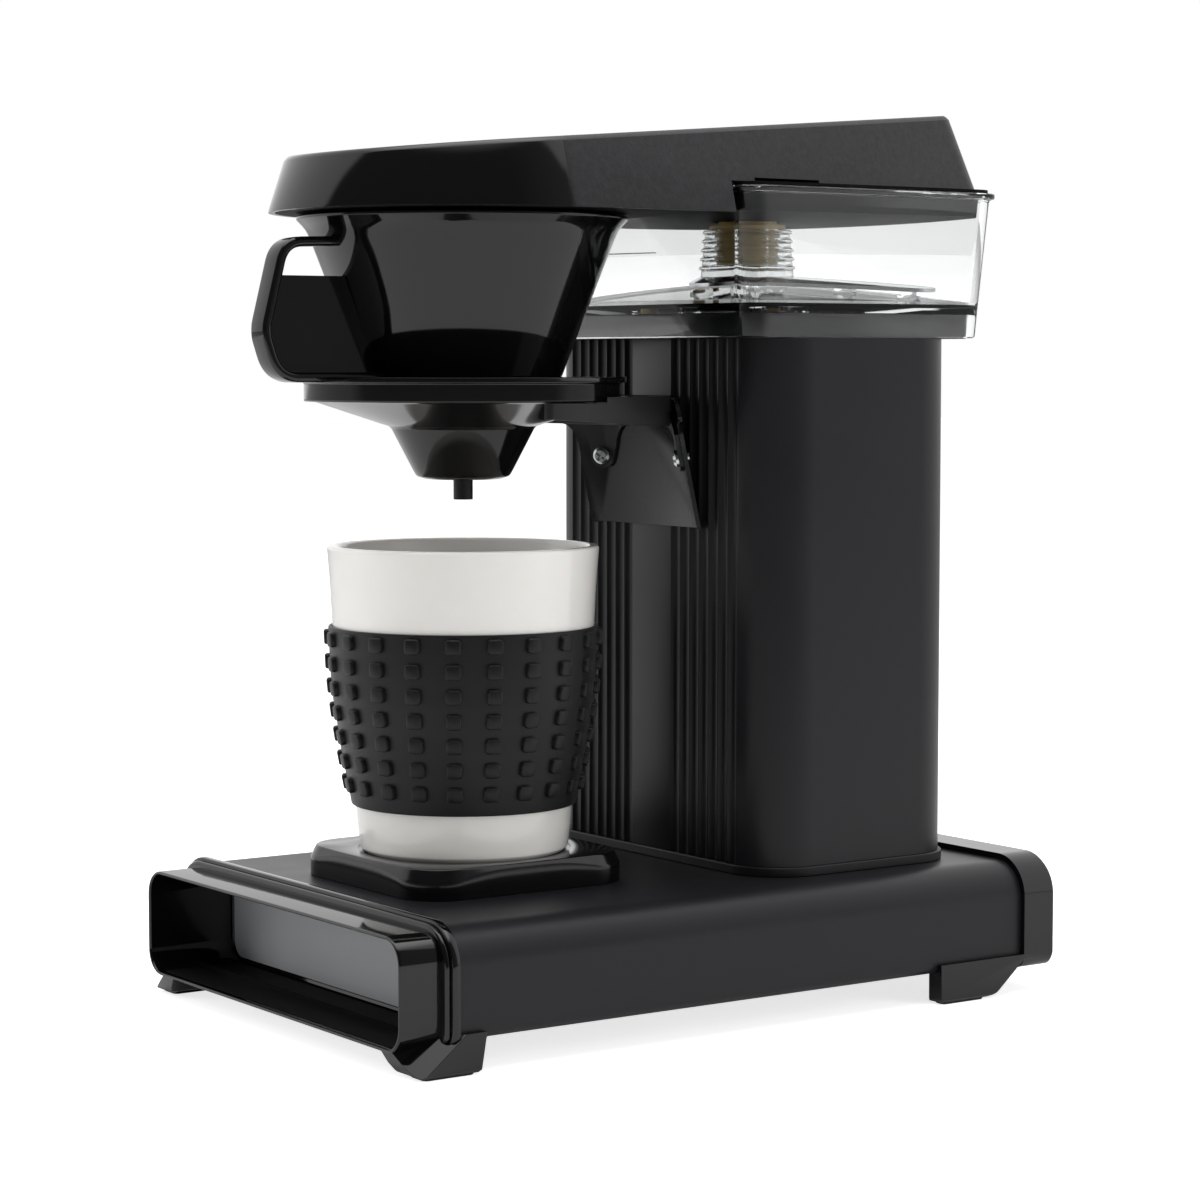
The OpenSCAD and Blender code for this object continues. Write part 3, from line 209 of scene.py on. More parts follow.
# %% Glossy ABS
gloss_black, gloss_tree, gloss_shader = start_material(
    "polished_black_abs", Base_Color=linear("#0a0a0b"), Roughness=0.07, IOR=1.53, Specular_IOR_Level=0.45)
spot = add(gloss_tree, "ShaderNodeTexCoord").outputs["Object"]
swell = add(gloss_tree, "ShaderNodeTexNoise", {"Vector": spot, "Scale": per_mm(30.0), "Detail": 1.0})
swell_bump = add(gloss_tree, "ShaderNodeBump", {
    "Height": swell.outputs["Fac"], "Strength": 0.12, "Distance": 0.0006})
gloss_tree.links.new(swell_bump.outputs["Normal"], gloss_shader.inputs["Normal"])
print("swell over", round(1000 / swell.inputs["Scale"].default_value), "mm")

# %% The lid's two finishes
etched_from, etched_to = -0.052, -0.049
lid_black, lid_tree, lid_shader = start_material(
    "lid_abs_polished_front_etched_sides", IOR=1.53, Specular_IOR_Level=0.45)
spot = add(lid_tree, "ShaderNodeTexCoord").outputs["Object"]
along = add(lid_tree, "ShaderNodeSeparateXYZ", {"Vector": spot}).outputs["Y"]
behind = add(lid_tree, "ShaderNodeMapRange", {
    "Value": along, "From Min": etched_from, "From Max": etched_to}).outputs["Result"]
facing = add(lid_tree, "ShaderNodeNewGeometry").outputs["True Normal"]
upward = add(lid_tree, "ShaderNodeSeparateXYZ", {"Vector": facing}).outputs["Z"]
flat = add(lid_tree, "ShaderNodeMapRange", {
    "Value": upward, "From Min": 0.8, "From Max": 0.9}).outputs["Result"]
etched = add(lid_tree, "ShaderNodeMath", {0: behind, 1: flat}, operation="MAXIMUM").outputs["Value"]
rough = add(lid_tree, "ShaderNodeMapRange", {"Value": etched, "To Min": 0.09, "To Max": 0.44})
lid_tree.links.new(rough.outputs["Result"], lid_shader.inputs["Roughness"])
leather = add(lid_tree, "ShaderNodeTexNoise", {
    "Vector": spot, "Scale": per_mm(2.2), "Detail": 5.0, "Roughness": 0.7})
worn = add(lid_tree, "ShaderNodeMapRange", {
    "Value": leather.outputs["Fac"], "From Min": 0.35, "From Max": 0.65}).outputs["Result"]
skin = add(lid_tree, "ShaderNodeMix", {
    "Factor": worn, colour_a: linear("#151517"), colour_b: linear("#232326")}, data_type="RGBA")
tone = add(lid_tree, "ShaderNodeMix", {
    "Factor": etched, colour_a: linear("#0b0b0c"), colour_b: skin.outputs[colour_out]}, data_type="RGBA")
lid_tree.links.new(tone.outputs[colour_out], lid_shader.inputs["Base Color"])
grain = add(lid_tree, "ShaderNodeTexNoise", {
    "Vector": spot, "Scale": per_mm(0.9), "Detail": 4.0, "Roughness": 0.6})
depth = add(lid_tree, "ShaderNodeMapRange", {"Value": etched, "To Min": 0.0, "To Max": 0.00008})
lid_bump = add(lid_tree, "ShaderNodeBump", {
    "Height": grain.outputs["Fac"], "Strength": 0.6, "Distance": depth.outputs["Result"]})
lid_tree.links.new(lid_bump.outputs["Normal"], lid_shader.inputs["Normal"])
print("lid turns from polished to etched at y =", etched_from, "to", etched_to)

# %% [markdown]
# ## Glazed porcelain
# The mug is white porcelain under a clear glaze. The body under the glaze is never one even white,
# so a slow noise shifts it between two near tones. The glaze is a clear coat over it, and a little
# light passes through the body, which softens the shadows inside the mug.

# %% Porcelain
porcelain, china_tree, china_shader = start_material(
    "glazed_porcelain", Roughness=0.16, IOR=1.5, Coat_Weight=0.6, Coat_Roughness=0.05,
    Subsurface_Weight=0.08, Subsurface_Scale=0.003)
spot = add(china_tree, "ShaderNodeTexCoord").outputs["Object"]
clay = add(china_tree, "ShaderNodeTexNoise", {"Vector": spot, "Scale": per_mm(22.0), "Detail": 3.0})
tint = add(china_tree, "ShaderNodeMix", {
    "Factor": clay.outputs["Fac"], colour_a: linear("#e9e6e1"), colour_b: linear("#f1efeb")},
    data_type="RGBA")
china_tree.links.new(tint.outputs[colour_out], china_shader.inputs["Base Color"])
print("porcelain coat:", round(china_shader.inputs["Coat Weight"].default_value, 2))

# %% [markdown]
# ## Clear and bright parts
# The tank and the tower in it are clear SAN, a hard styrene plastic. It is nearly colourless and
# polished in the tool, so only its rims and edges show. Light on its way to a lamp passes it as a
# faintly tinted clear sheet, so that what stands inside is lit. The deflector plate is thin
# stainless steel, polished and then lightly brushed, which draws its highlights out into lines.

# %% Clear plastic
clear_san, san_tree, san_shader = start_material(
    "clear_san", Base_Color=linear("#f9fafa"), IOR=1.5, Transmission_Weight=1.0)
spot = add(san_tree, "ShaderNodeTexCoord").outputs["Object"]
flow = add(san_tree, "ShaderNodeTexNoise", {"Vector": spot, "Scale": per_mm(25.0), "Detail": 1.0})
haze = add(san_tree, "ShaderNodeMapRange", {"Value": flow.outputs["Fac"], "To Min": 0.01, "To Max": 0.04})
san_tree.links.new(haze.outputs["Result"], san_shader.inputs["Roughness"])
lamp_ray = add(san_tree, "ShaderNodeLightPath").outputs["Is Shadow Ray"]
see_through = add(san_tree, "ShaderNodeBsdfTransparent", {"Color": (0.93, 0.95, 0.95, 1.0)})
san_mix = add(san_tree, "ShaderNodeMixShader", {
    0: lamp_ray, 1: san_shader.outputs["BSDF"], 2: see_through.outputs["BSDF"]})
san_tree.links.new(san_mix.outputs["Shader"], san_tree.nodes["Material Output"].inputs["Surface"])
print("clear plastic bends light by an index of", round(san_shader.inputs["IOR"].default_value, 2))

# %% Polished steel
polished_steel, steel_tree, steel_shader = start_material(
    "polished_stainless_steel", Base_Color=linear("#e6e8e9"), Metallic=1.0)
spot = add(steel_tree, "ShaderNodeTexCoord").outputs["Object"]
stretch = add(steel_tree, "ShaderNodeMapping", {"Vector": spot, "Scale": (1.0, 0.06, 1.0)})
lines = add(steel_tree, "ShaderNodeTexNoise", {
    "Vector": stretch.outputs["Vector"], "Scale": per_mm(0.5), "Detail": 3.0})
sheen = add(steel_tree, "ShaderNodeMapRange", {"Value": lines.outputs["Fac"], "To Min": 0.1, "To Max": 0.24})
steel_tree.links.new(sheen.outputs["Result"], steel_shader.inputs["Roughness"])
print("materials in all:", len(bpy.data.materials))

# %% [markdown]
# ## From a solid to a finished piece
# A CAD solid arrives as loose triangles with knife-sharp edges, and real edges are never that
# sharp: even a crisp moulding has a radius of a few tenths of a millimetre, and that radius is
# what catches the light. The helper dress takes a copy of the solid, merges its doubles, melts
# flat triangles into whole faces, and gives it a Bevel of the radius that the real edge has. The
# small helpers before it are the steps that every piece goes through.

# %% Steps that every piece goes through
def smooth(mesh, angle=32.0):
    """Smooth shading that stays sharp across edges steeper than the angle."""
    mesh.polygons.foreach_set("use_smooth", [True] * len(mesh.polygons))
    mesh.set_sharp_from_angle(angle=math.radians(angle))


def closed(work, name, angle, material=None):
    """The mesh of a closed shell under construction, faces outwards, shaded smooth."""
    bmesh.ops.recalc_face_normals(work, faces=work.faces)
    mesh = bpy.data.meshes.new(name)
    work.to_mesh(mesh)
    work.free()
    if material:
        mesh.materials.append(material)
    smooth(mesh, angle)
    return mesh


def shown(name, mesh):
    """An object of the mesh at the origin, in the scene."""
    piece = bpy.data.objects.new(name, mesh)
    scene.collection.objects.link(piece)
    return piece


def round_edges(piece, radius_mm, steps=3, angle=30.0):
    """A Bevel that rounds the edges steeper than the angle."""
    rounding = piece.modifiers.new("edge_radius", "BEVEL")
    rounding.width = radius_mm / 1000
    rounding.segments = steps
    rounding.limit_method = "ANGLE"
    rounding.angle_limit = math.radians(angle)
    rounding.harden_normals = True


def settle(piece, body, slot, *stood_for):
    """Makes a piece ride on its body and hides the solids that it stands for; slot is not used."""
    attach(piece, body)
    if stood_for:
        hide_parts(*stood_for)
    return piece


print("shared steps:", [step.__name__ for step in (smooth, closed, shown, round_edges, settle)])

# %% Dress a solid
dressed = {}


def dress(node, material, slot, edge_mm=0.3, body="stand", steps=2, angle=38.0):
    """Replaces a node by a welded copy with rounded edges and a finish."""
    mesh = nodes[node].data.copy()
    mesh.name = node + "_finished"
    work = bmesh.new()
    work.from_mesh(mesh)
    bmesh.ops.remove_doubles(work, verts=work.verts, dist=2e-6)
    bmesh.ops.dissolve_limit(work, angle_limit=math.radians(0.4), verts=work.verts, edges=work.edges)
    work.to_mesh(mesh)
    work.free()
    mesh.materials.clear()
    mesh.materials.append(material)
    piece = shown(node + "_finished", mesh)
    smooth(mesh, angle)
    round_edges(piece, edge_mm, steps, angle)
    dressed[node] = settle(piece, body, slot, node)


for node, edge in (("base_housing", 0.3), ("column_housing", 0.25)):
    dress(node, coated_aluminium, "coated_aluminium", edge)
dress("rear_cap", gloss_black, "gloss_black", 0.6, steps=3)
dress("basket_bracket", coated_steel, "coated_steel", 0.25)
dress("base_plate", coated_steel, "coated_steel", 0.2)
dress("lid_cover", lid_black, "lid_black", 0.5, "lid", steps=3)
dress("lid_pan", pan_plastic, "matte_black", 0.3, "lid")
for node in ("column_plinth", "column_top_cover", "basket_carrier", "switch_frame", "cord_gland"):
    dress(node, matte_plastic, "matte_black", 0.4)
dress("switch_rocker", gloss_black, "gloss_black", 0.3, "switch")
dress("deflector_plate", polished_steel, "polished_steel", 0.3)
print("dressed solids:", len(dressed))

# %% [markdown]
# ## Inner parts keep their solids
# Nobody sees the heater, the hoses or the rods without taking the column apart, but they are
# there. They keep the CAD solids and only get their real finishes. So do the bracket's screws, the
# outlet tube, the deflector's posts and the drip nozzle, which are small and well enough shaped.

# %% Finish the inner parts
plain = {
    "tie_rods": zinc_steel, "base_plate_screws": zinc_steel, "bracket_screws": zinc_steel,
    "boiler_tube": cast_aluminium, "boiler_bracket": cast_aluminium, "thermostat": stamped_brass,
    "thermal_fuse": nylon, "check_valve": nylon, "terminal_block": nylon, "inlet_hose": hose_silicone,
    "riser_hose": hose_silicone, "tank_outlet_seal": tan_silicone, "riser_tube": clear_san,
    "deflector_posts": clear_san, "outlet_tube": grey_plastic, "drip_head": matte_plastic,
    "drip_nozzle": matte_plastic,
}
for node, material in plain.items():
    mesh = nodes[node].data
    mesh.materials.clear()
    mesh.materials.append(material)
print("plain solids with a finish:", len(plain))

# %% [markdown]
# ## Turned pieces
# The mug, its sleeve, the basket cone and its collar are all round about one upright axis. A
# profile of radius and height, with its corners rounded to the real radii, is turned in small
# steps, so that the glossy faces reflect without facets. The Spin tool could turn it too, but a
# short loop closes the poles by itself, and the closed profile gives the wall its real thickness.

# %% A profile with rounded corners
def rounded(points, radii, step_deg=12):
    """Rounds the corners of a closed profile; radii in mm, one for each point, kept within its sides."""
    result = []
    count = len(points)
    for i, (point, radius) in enumerate(zip(points, radii)):
        here = Vector(point)
        before, after = Vector(points[i - 1]), Vector(points[(i + 1) % count])
        into, out = (here - before).normalized(), (after - here).normalized()
        turn = into.angle(out)
        if radius <= 0 or turn < 0.05:
            result.append(here)
            continue
        reach = min(radius * math.tan(turn / 2), (here - before).length * 0.48, (after - here).length * 0.48)
        first, last = here - into * reach, here + out * reach
        steps = max(2, round(math.degrees(turn) / step_deg))
        for k in range(steps + 1):
            t = k / steps
            result.append(first.lerp(here, t).lerp(here.lerp(last, t), t))
    return result


square_tip = rounded([(0, 0), (9, 0), (9, 9), (0, 9)], [0, 2, 0, 0])
print("a square corner of radius 2 mm becomes", len(square_tip) - 3, "points")

# %% A profile turned about an upright axis
def turned(name, profile, centre_y, material, segments=160, angle=30.0):
    """Turns a closed profile of (radius, height) in mm about X=0, Y=centre_y."""
    work = bmesh.new()
    rings = []
    turns = [2 * math.pi * k / segments for k in range(segments)]
    for radius, height in profile:
        if radius < 1e-4:
            rings.append([work.verts.new((0, centre_y / 1000, height / 1000))])
            continue
        rings.append([work.verts.new((radius * math.cos(a) / 1000, (centre_y + radius * math.sin(a)) / 1000,
                                      height / 1000)) for a in turns])
    for i, ring in enumerate(rings):
        other = rings[(i + 1) % len(rings)]
        if len(ring) == 1 and len(other) == 1:
            continue
        for k in range(segments):
            n = (k + 1) % segments
            corners = [ring[k % len(ring)], ring[n % len(ring)],
                       other[n % len(other)], other[k % len(other)]]
            work.faces.new(list(dict.fromkeys(corners)))
    return shown(name, closed(work, name, angle, material))


axis_y = (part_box("mug")[0].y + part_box("mug")[1].y) * 500
print("brewing axis at y =", round(axis_y, 2), "mm")

# %% [markdown]
# ## The porcelain mug
# A mug is thrown or slip-cast with a wall of about three millimetres, and its rim and foot are
# wiped round before firing. The glaze pools slightly, so nothing on it is sharp. A surface with
# Solidify would have one even wall, so one closed profile is turned instead: outside, inside and
# foot ring.

# %% Mug
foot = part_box("mug")[0].z * 1000
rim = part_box("mug")[1].z * 1000
height = rim - foot
mug_outside = [(31.2, 0), (32.4, 1.2), (33.3, 9), (33.7, 14.6), (34.3, 18), (37.1, 32.8), (38.1, 40),
               (39.3, 47.6), (40.1, 57), (40.6, 70), (41.2, 82), (42.2, height)]
mug_inside = [(38.8, height), (37.3, 68), (35.9, 47.6), (33.7, 32.8), (30.8, 17), (28.4, 9), (23.4, 6.4),
              (0, 5.4)]
mug_under = [(0, 2), (28.0, 2), (28.4, 0)]
radii = [0.6, 1.0, 20, 20, 30, 30, 30, 30, 30, 30, 30, 1.3] + [1.5, 30, 30, 30, 20, 10, 8, 0] + [0, 0.8, 0.6]
mug_profile = [(r, foot + z) for r, z in mug_outside + mug_inside + mug_under]
mug = turned("mug_body", rounded(mug_profile, radii), axis_y, porcelain, angle=50)
settle(mug, "cup", "white_porcelain", "mug")
print("mug:", round(height, 1), "mm high,", len(mug.data.polygons), "faces")

# %% [markdown]
# ## The sleeve and its studs
# The mug wears a matte silicone sleeve with rows of raised pads, which keep the fingers off the
# hot wall. The sleeve is a thin turned shell. The pads repeat in a rule, so Geometry Nodes sets
# them: one pad is put at each point of a profile line, and that column is turned round the axis.
# The inputs are the pad, its material, the first angle and the number of rows and columns. The
# tree ends in Realize Instances and Set Material, because an export keeps only real faces.

# %% Sleeve shell
sleeve_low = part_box("mug_sleeve")[0].z * 1000
sleeve_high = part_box("mug_sleeve")[1].z * 1000
sleeve_wall = 1.1
outer = [(35.0, sleeve_low), (35.6, 68.9), (38.4, 83.7), (39.4, 90.9), (40.6, 98.5), (41.4, 107.9),
         (41.9, sleeve_high)]
inner = [(r - sleeve_wall, z) for r, z in reversed(outer)]
radii = [0.5, 10, 30, 30, 30, 30, 0.5, 0.3, 30, 30, 30, 30, 10, 0.3]
sleeve = turned("mug_sleeve_shell", rounded(outer + inner, radii), axis_y, sleeve_silicone, angle=50)
settle(sleeve, "cup", "sleeve_silicone", "mug_sleeve")


def sleeve_radius(z):
    """Outer radius of the sleeve at height z, in mm."""
    for (r0, z0), (r1, z1) in zip(outer, outer[1:]):
        if z0 <= z <= z1:
            return r0 + (r1 - r0) * (z - z0) / (z1 - z0)
    return outer[-1][0]


print("sleeve from", round(sleeve_low, 1), "to", round(sleeve_high, 1), "mm")

# %% One pad
def rounded_pad(name, width, height, thickness, corner, crown):
    """A pad standing along +X, its back a little behind X=0: a rounded square with a softened rim."""
    work = bmesh.new()
    loops = []
    for x, inset in ((-0.4, 0.0), (thickness - crown, 0.0), (thickness - crown * 0.3, crown * 0.35),
                     (thickness, crown)):
        ring = []
        for quarter in range(4):
            cx = (1 if quarter in (0, 3) else -1) * (width / 2 - corner)
            cz = (1 if quarter in (0, 1) else -1) * (height / 2 - corner)
            for k in range(3):
                a = math.pi / 2 * (quarter + k / 2)
                reach = corner - min(inset, corner * 0.8)
                y = cx + reach * math.cos(a)
                z = cz + reach * math.sin(a)
                ring.append(work.verts.new((x / 1000, y / 1000, z / 1000)))
        loops.append(ring)
    for low, high in zip(loops, loops[1:]):
        for k in range(12):
            work.faces.new((low[k], low[(k + 1) % 12], high[(k + 1) % 12], high[k]))
    work.faces.new(loops[-1])
    work.faces.new(loops[0])
    return shown(name, closed(work, name, 60))


pad = rounded_pad("sleeve_pad", width=4.8, height=4.6, thickness=1.5, corner=1.0, crown=0.45)
print("one pad:", len(pad.data.polygons), "faces")

# %% Helpers for geometry trees
def socket_of(tree, name):
    """The identifier of a named input of the tree."""
    return next(item.identifier for item in tree.interface.items_tree
                if item.item_type == "SOCKET" and item.in_out == "INPUT" and item.name == name)


def new_tree(name, inputs):
    """A geometry tree with a Geometry input and output and the given named inputs."""
    tree = bpy.data.node_groups.new(name, "GeometryNodeTree")
    tree.interface.new_socket("Geometry", in_out="INPUT", socket_type="NodeSocketGeometry")
    tree.interface.new_socket("Geometry", in_out="OUTPUT", socket_type="NodeSocketGeometry")
    for label, kind in inputs:
        tree.interface.new_socket(label, in_out="INPUT", socket_type=kind)
    return tree, tree.nodes.new("NodeGroupInput"), tree.nodes.new("NodeGroupOutput")


print("trees are made by", new_tree.__name__, "and their inputs are found by", socket_of.__name__)

# %% A tree that sets pads round an axis
pad_tree, given, result = new_tree("pads_round_an_axis", [
    ("Pad", "NodeSocketObject"), ("Rows", "NodeSocketInt"), ("Columns", "NodeSocketInt"),
    ("First angle", "NodeSocketFloat"), ("Material", "NodeSocketMaterial")])
line = add(pad_tree, "GeometryNodeMeshToCurve", {"Mesh": given.outputs["Geometry"]})
even = add(pad_tree, "GeometryNodeResampleCurve", {
    "Curve": line.outputs["Curve"], "Count": given.outputs["Rows"]})
tangent = add(pad_tree, "GeometryNodeInputTangent").outputs["Tangent"]
upright = add(pad_tree, "FunctionNodeAlignRotationToVector", {"Vector": tangent}, axis="Z")
source = add(pad_tree, "GeometryNodeObjectInfo", {"Object": given.outputs["Pad"]})
column = add(pad_tree, "GeometryNodeInstanceOnPoints", {
    "Points": even.outputs["Curve"], "Instance": source.outputs["Geometry"],
    "Rotation": upright.outputs["Rotation"]})
spread = add(pad_tree, "GeometryNodeMeshLine", {
    "Count": given.outputs["Columns"], "Offset": (0.0, 0.0, 0.0)})
number = add(pad_tree, "GeometryNodeInputIndex").outputs["Index"]
step = add(pad_tree, "ShaderNodeMath", {0: 2 * math.pi, 1: given.outputs["Columns"]}, operation="DIVIDE")
turn = add(pad_tree, "ShaderNodeMath", {
    0: number, 1: step.outputs["Value"], 2: given.outputs["First angle"]}, operation="MULTIPLY_ADD")
about = add(pad_tree, "ShaderNodeCombineXYZ", {"Z": turn.outputs["Value"]})
around = add(pad_tree, "GeometryNodeInstanceOnPoints", {
    "Points": spread.outputs["Mesh"], "Instance": column.outputs["Instances"],
    "Rotation": about.outputs["Vector"]})
real = add(pad_tree, "GeometryNodeRealizeInstances", {"Geometry": around.outputs["Instances"]})
paint = add(pad_tree, "GeometryNodeSetMaterial", {
    "Geometry": real.outputs["Geometry"], "Material": given.outputs["Material"]})
pad_tree.links.new(paint.outputs["Geometry"], result.inputs["Geometry"])
print("tree:", pad_tree.name, "with", len(pad_tree.nodes), "nodes")

# %% Run the tree on the sleeve's profile line
def grown(name, points, tree, values, centre_y):
    """Runs a tree on a line of (radius, height) points, and moves the plain result to its axis."""
    mesh = bpy.data.meshes.new(name + "_line")
    mesh.from_pydata([(r / 1000, 0.0, z / 1000) for r, z in points],
                     [(i, i + 1) for i in range(len(points) - 1)], [])
    host = shown(name + "_line", mesh)
    modifier = host.modifiers.new("grow", "NODES")
    modifier.node_group = tree
    for label, value in values.items():
        modifier[socket_of(tree, label)] = value
    ready = host.evaluated_get(bpy.context.evaluated_depsgraph_get())
    plain_mesh = bpy.data.meshes.new_from_object(ready)
    plain_mesh.name = name
    plain_mesh.transform(Matrix.Translation((0.0, centre_y / 1000, 0.0)))
    host.modifiers.remove(modifier)
    bpy.data.objects.remove(host)
    smooth(plain_mesh, 50)
    return shown(name, plain_mesh)


pad_rows, pad_columns, first_turn, pad_sunk = 7, 21, math.radians(-2.2), 0.05
first_row, last_row = sleeve_low + 6.8, sleeve_high - 3.6
heights = [first_row + (last_row - first_row) * k / 12 for k in range(13)]
pads = grown("mug_sleeve_pads", [(sleeve_radius(z) - pad_sunk, z) for z in heights], pad_tree, {
    "Pad": pad, "Rows": pad_rows, "Columns": pad_columns, "First angle": first_turn,
    "Material": sleeve_silicone}, axis_y)
bpy.data.objects.remove(pad)
settle(pads, "cup", "sleeve_silicone")
print("pads:", len(pads.data.polygons), "faces")

# %% [markdown]
# ## Stacked rings
# Many mouldings are a rounded outline that grows or shrinks along one direction. Such a piece is
# lofted: rings with the same number of points are stacked and joined, so that its faces are clean
# strips and every edge has the radius that its rings give it.

# %% Lofted rings
def ring_of(half, front, back, corner, z, steps=8):
    """A rounded rectangle in mm at height z, counter-clockwise seen from above."""
    points = []
    for cx, cy, first in ((half - corner, back - corner, 0), (-half + corner, back - corner, 90),
                          (-half + corner, front + corner, 180), (half - corner, front + corner, 270)):
        for k in range(steps + 1):
            a = math.radians(first + 90 * k / steps)
            points.append((cx + corner * math.cos(a), cy + corner * math.sin(a), z))
    return points


def lofted(name, rings, material, angle=35.0, loop=False):
    """Joins rings of equal count; the ends are capped, or joined to each other with loop."""
    work = bmesh.new()
    made = [[work.verts.new(tuple(c / 1000 for c in p)) for p in ring] for ring in rings]
    count = len(rings[0])
    for low_ring, high_ring in zip(made, made[1:] + made[:1] if loop else made[1:]):
        for k in range(count):
            n = (k + 1) % count
            work.faces.new((low_ring[k], low_ring[n], high_ring[n], high_ring[k]))
    if not loop:
        work.faces.new(list(reversed(made[0])))
        work.faces.new(made[-1])
    return shown(name, closed(work, name, angle, material))


print("a rounded rectangle has", len(ring_of(10, -10, 10, 2, 0)), "points")

# %% [markdown]
# ## The front cap
# The cap is moulded in one piece: a thin frame round an open recess, a half-round bead, and a
# collar that follows the base. The collar's outline is the base's own, with wide radii above and
# tight ones below, moved out by up to 1.9 millimetres. A Boolean could cut the recess from a
# block, but frame and collar are two lofts, because the gloss needs long clean strips of faces.

# %% The outlines that the cap follows
base_low, base_high = (corner * 1000 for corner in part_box("base_housing"))
cap_low, cap_high = (corner * 1000 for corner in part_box("front_cap"))
front_y, ext_y0 = cap_low.y, base_low.y
recess_back = front_y + 30.0
frame_r, frame_t = 8.0, 1.1
frame_half, frame_low, frame_high = base_high.x - 2.3, base_low.z - 2.6, base_high.z - 1.4


def base_ring(grow, y, wide=11.0, tight=2.8, steps=10):
    """The base's outline moved out by grow, in mm: wide radii above, tight ones below."""
    points = []
    for sx, z, radius, first in ((1, base_high.z - wide, wide, 0), (-1, base_high.z - wide, wide, 90),
                                 (-1, base_low.z + tight, tight, 180), (1, base_low.z + tight, tight, 270)):
        for k in range(steps + 1):
            a = math.radians(first + 90 * k / steps)
            across = sx * (base_high.x - radius) + (radius + grow) * math.cos(a)
            points.append((across, y, z + (radius + grow) * math.sin(a)))
    return points


def frame_ring(inset, y):
    """The frame's outline at y, moved in by inset."""
    corner = max(frame_r - inset, 2.0)
    outline = ring_of(frame_half - inset, frame_low + inset, frame_high - inset, corner, 0, 10)
    return [(x, y, z) for x, z, _ in outline]


print("front cap from y =", round(front_y, 1), "to", round(ext_y0, 1), "mm")

# %% Frame, bead and collar
lip = [(0, 0.7), (0.1, 0.25), (0.35, 0.0), (0.75, 0.0), (1.0, 0.25), (frame_t, 0.7)]
inner_end = [(frame_t, -1.5), (frame_t + 0.4, -0.4), (frame_t + 1.5, 0.0)]
cap_frame = lofted("front_cap_frame", [frame_ring(0, recess_back + frame_t)]
                   + [frame_ring(inset, front_y + back) for inset, back in lip]
                   + [frame_ring(inset, recess_back + back) for inset, back in inner_end], gloss_black)
settle(cap_frame, "stand", "gloss_black", "front_cap")
bead = [(-0.8, -4.5), (0.2, -4.45), (0.6, -4.2), (0.85, -3.8), (0.9, -3.4), (0.8, -3.0), (0.55, -2.75)]
band = [(1.4, -2.7), (1.75, -2.55), (1.9, -2.2), (1.9, -0.5), (1.75, -0.15), (1.4, 0.0)]
cap_collar = lofted("front_cap_collar", [base_ring(grow, ext_y0 + along) for grow, along in bead + band]
                    + [frame_ring(0.6, ext_y0), frame_ring(0.6, ext_y0 - 4.5)], gloss_black, loop=True)
settle(cap_collar, "stand", "gloss_black")
print("frame and collar:", len(cap_frame.data.polygons) + len(cap_collar.data.polygons), "faces")

# %% [markdown]
# ## The front feet
# Each front foot is a block with a swept inner side, a rounded nose and a sloping facet that turns
# its outer corner into a toe. A block like that is what remains when planes cut a larger one, so
# it starts as a box, and each edge of its side and front views cuts off what lies outside. The
# foot grows out of the frame, so a Boolean then takes away what would stand in the open recess.

# %% The foot's two views and the recess
foot_x, foot_low, foot_top = cap_high.x, cap_low.z, base_low.z + 2.4
foot_side = [(front_y + 1.5, frame_low + 0.6), (front_y + 2.6, 3.6), (front_y + 3.8, 1.4),
             (front_y + 5.6, foot_low), (ext_y0 + 6.2, foot_low), (ext_y0 + 7.0, 1.6),
             (ext_y0 + 8.9, base_low.z + 3)]
foot_front = [(foot_x, foot_low + 0.8), (foot_x - 0.8, foot_low), (foot_x - 10.4, foot_low),
              (foot_x - 13.0, foot_low + 1), (foot_x - 15.6, foot_low + 3.6), (foot_x - 19.0, frame_low + 1),
              (foot_x - 22.0, base_low.z + 3)]
toe_tilt, toe_turn = math.radians(49.0), math.radians(-43.6)
toe_facing = (math.sin(toe_tilt) * math.cos(toe_turn), math.sin(toe_tilt) * math.sin(toe_turn),
              math.cos(toe_tilt))
foot_angle = 20.0
hollow = lofted("recess_cutter", [frame_ring(0.55, y) for y in (front_y - 2, recess_back + 0.8)],
                gloss_black)
print("foot from y =", round(foot_side[0][0], 1), "to", round(foot_side[-1][0], 1), "mm")

# %% Feet cut from a block
def cut_off(work, point, outward):
    """Cuts away what lies beyond a plane and closes the cut."""
    made = bmesh.ops.bisect_plane(work, geom=work.verts[:] + work.edges[:] + work.faces[:], plane_co=point,
                                  plane_no=outward, clear_outer=True)
    edges = [item for item in made["geom_cut"] if isinstance(item, bmesh.types.BMEdge)]
    if edges:
        bmesh.ops.holes_fill(work, edges=edges)


def hollowed(foot):
    """The foot's mesh without what would stand inside the frame."""
    cut = foot.modifiers.new("recess", "BOOLEAN")
    cut.operation, cut.solver, cut.object = "DIFFERENCE", "EXACT", hollow
    mesh = bpy.data.meshes.new_from_object(foot.evaluated_get(bpy.context.evaluated_depsgraph_get()))
    foot.modifiers.remove(cut)
    return mesh


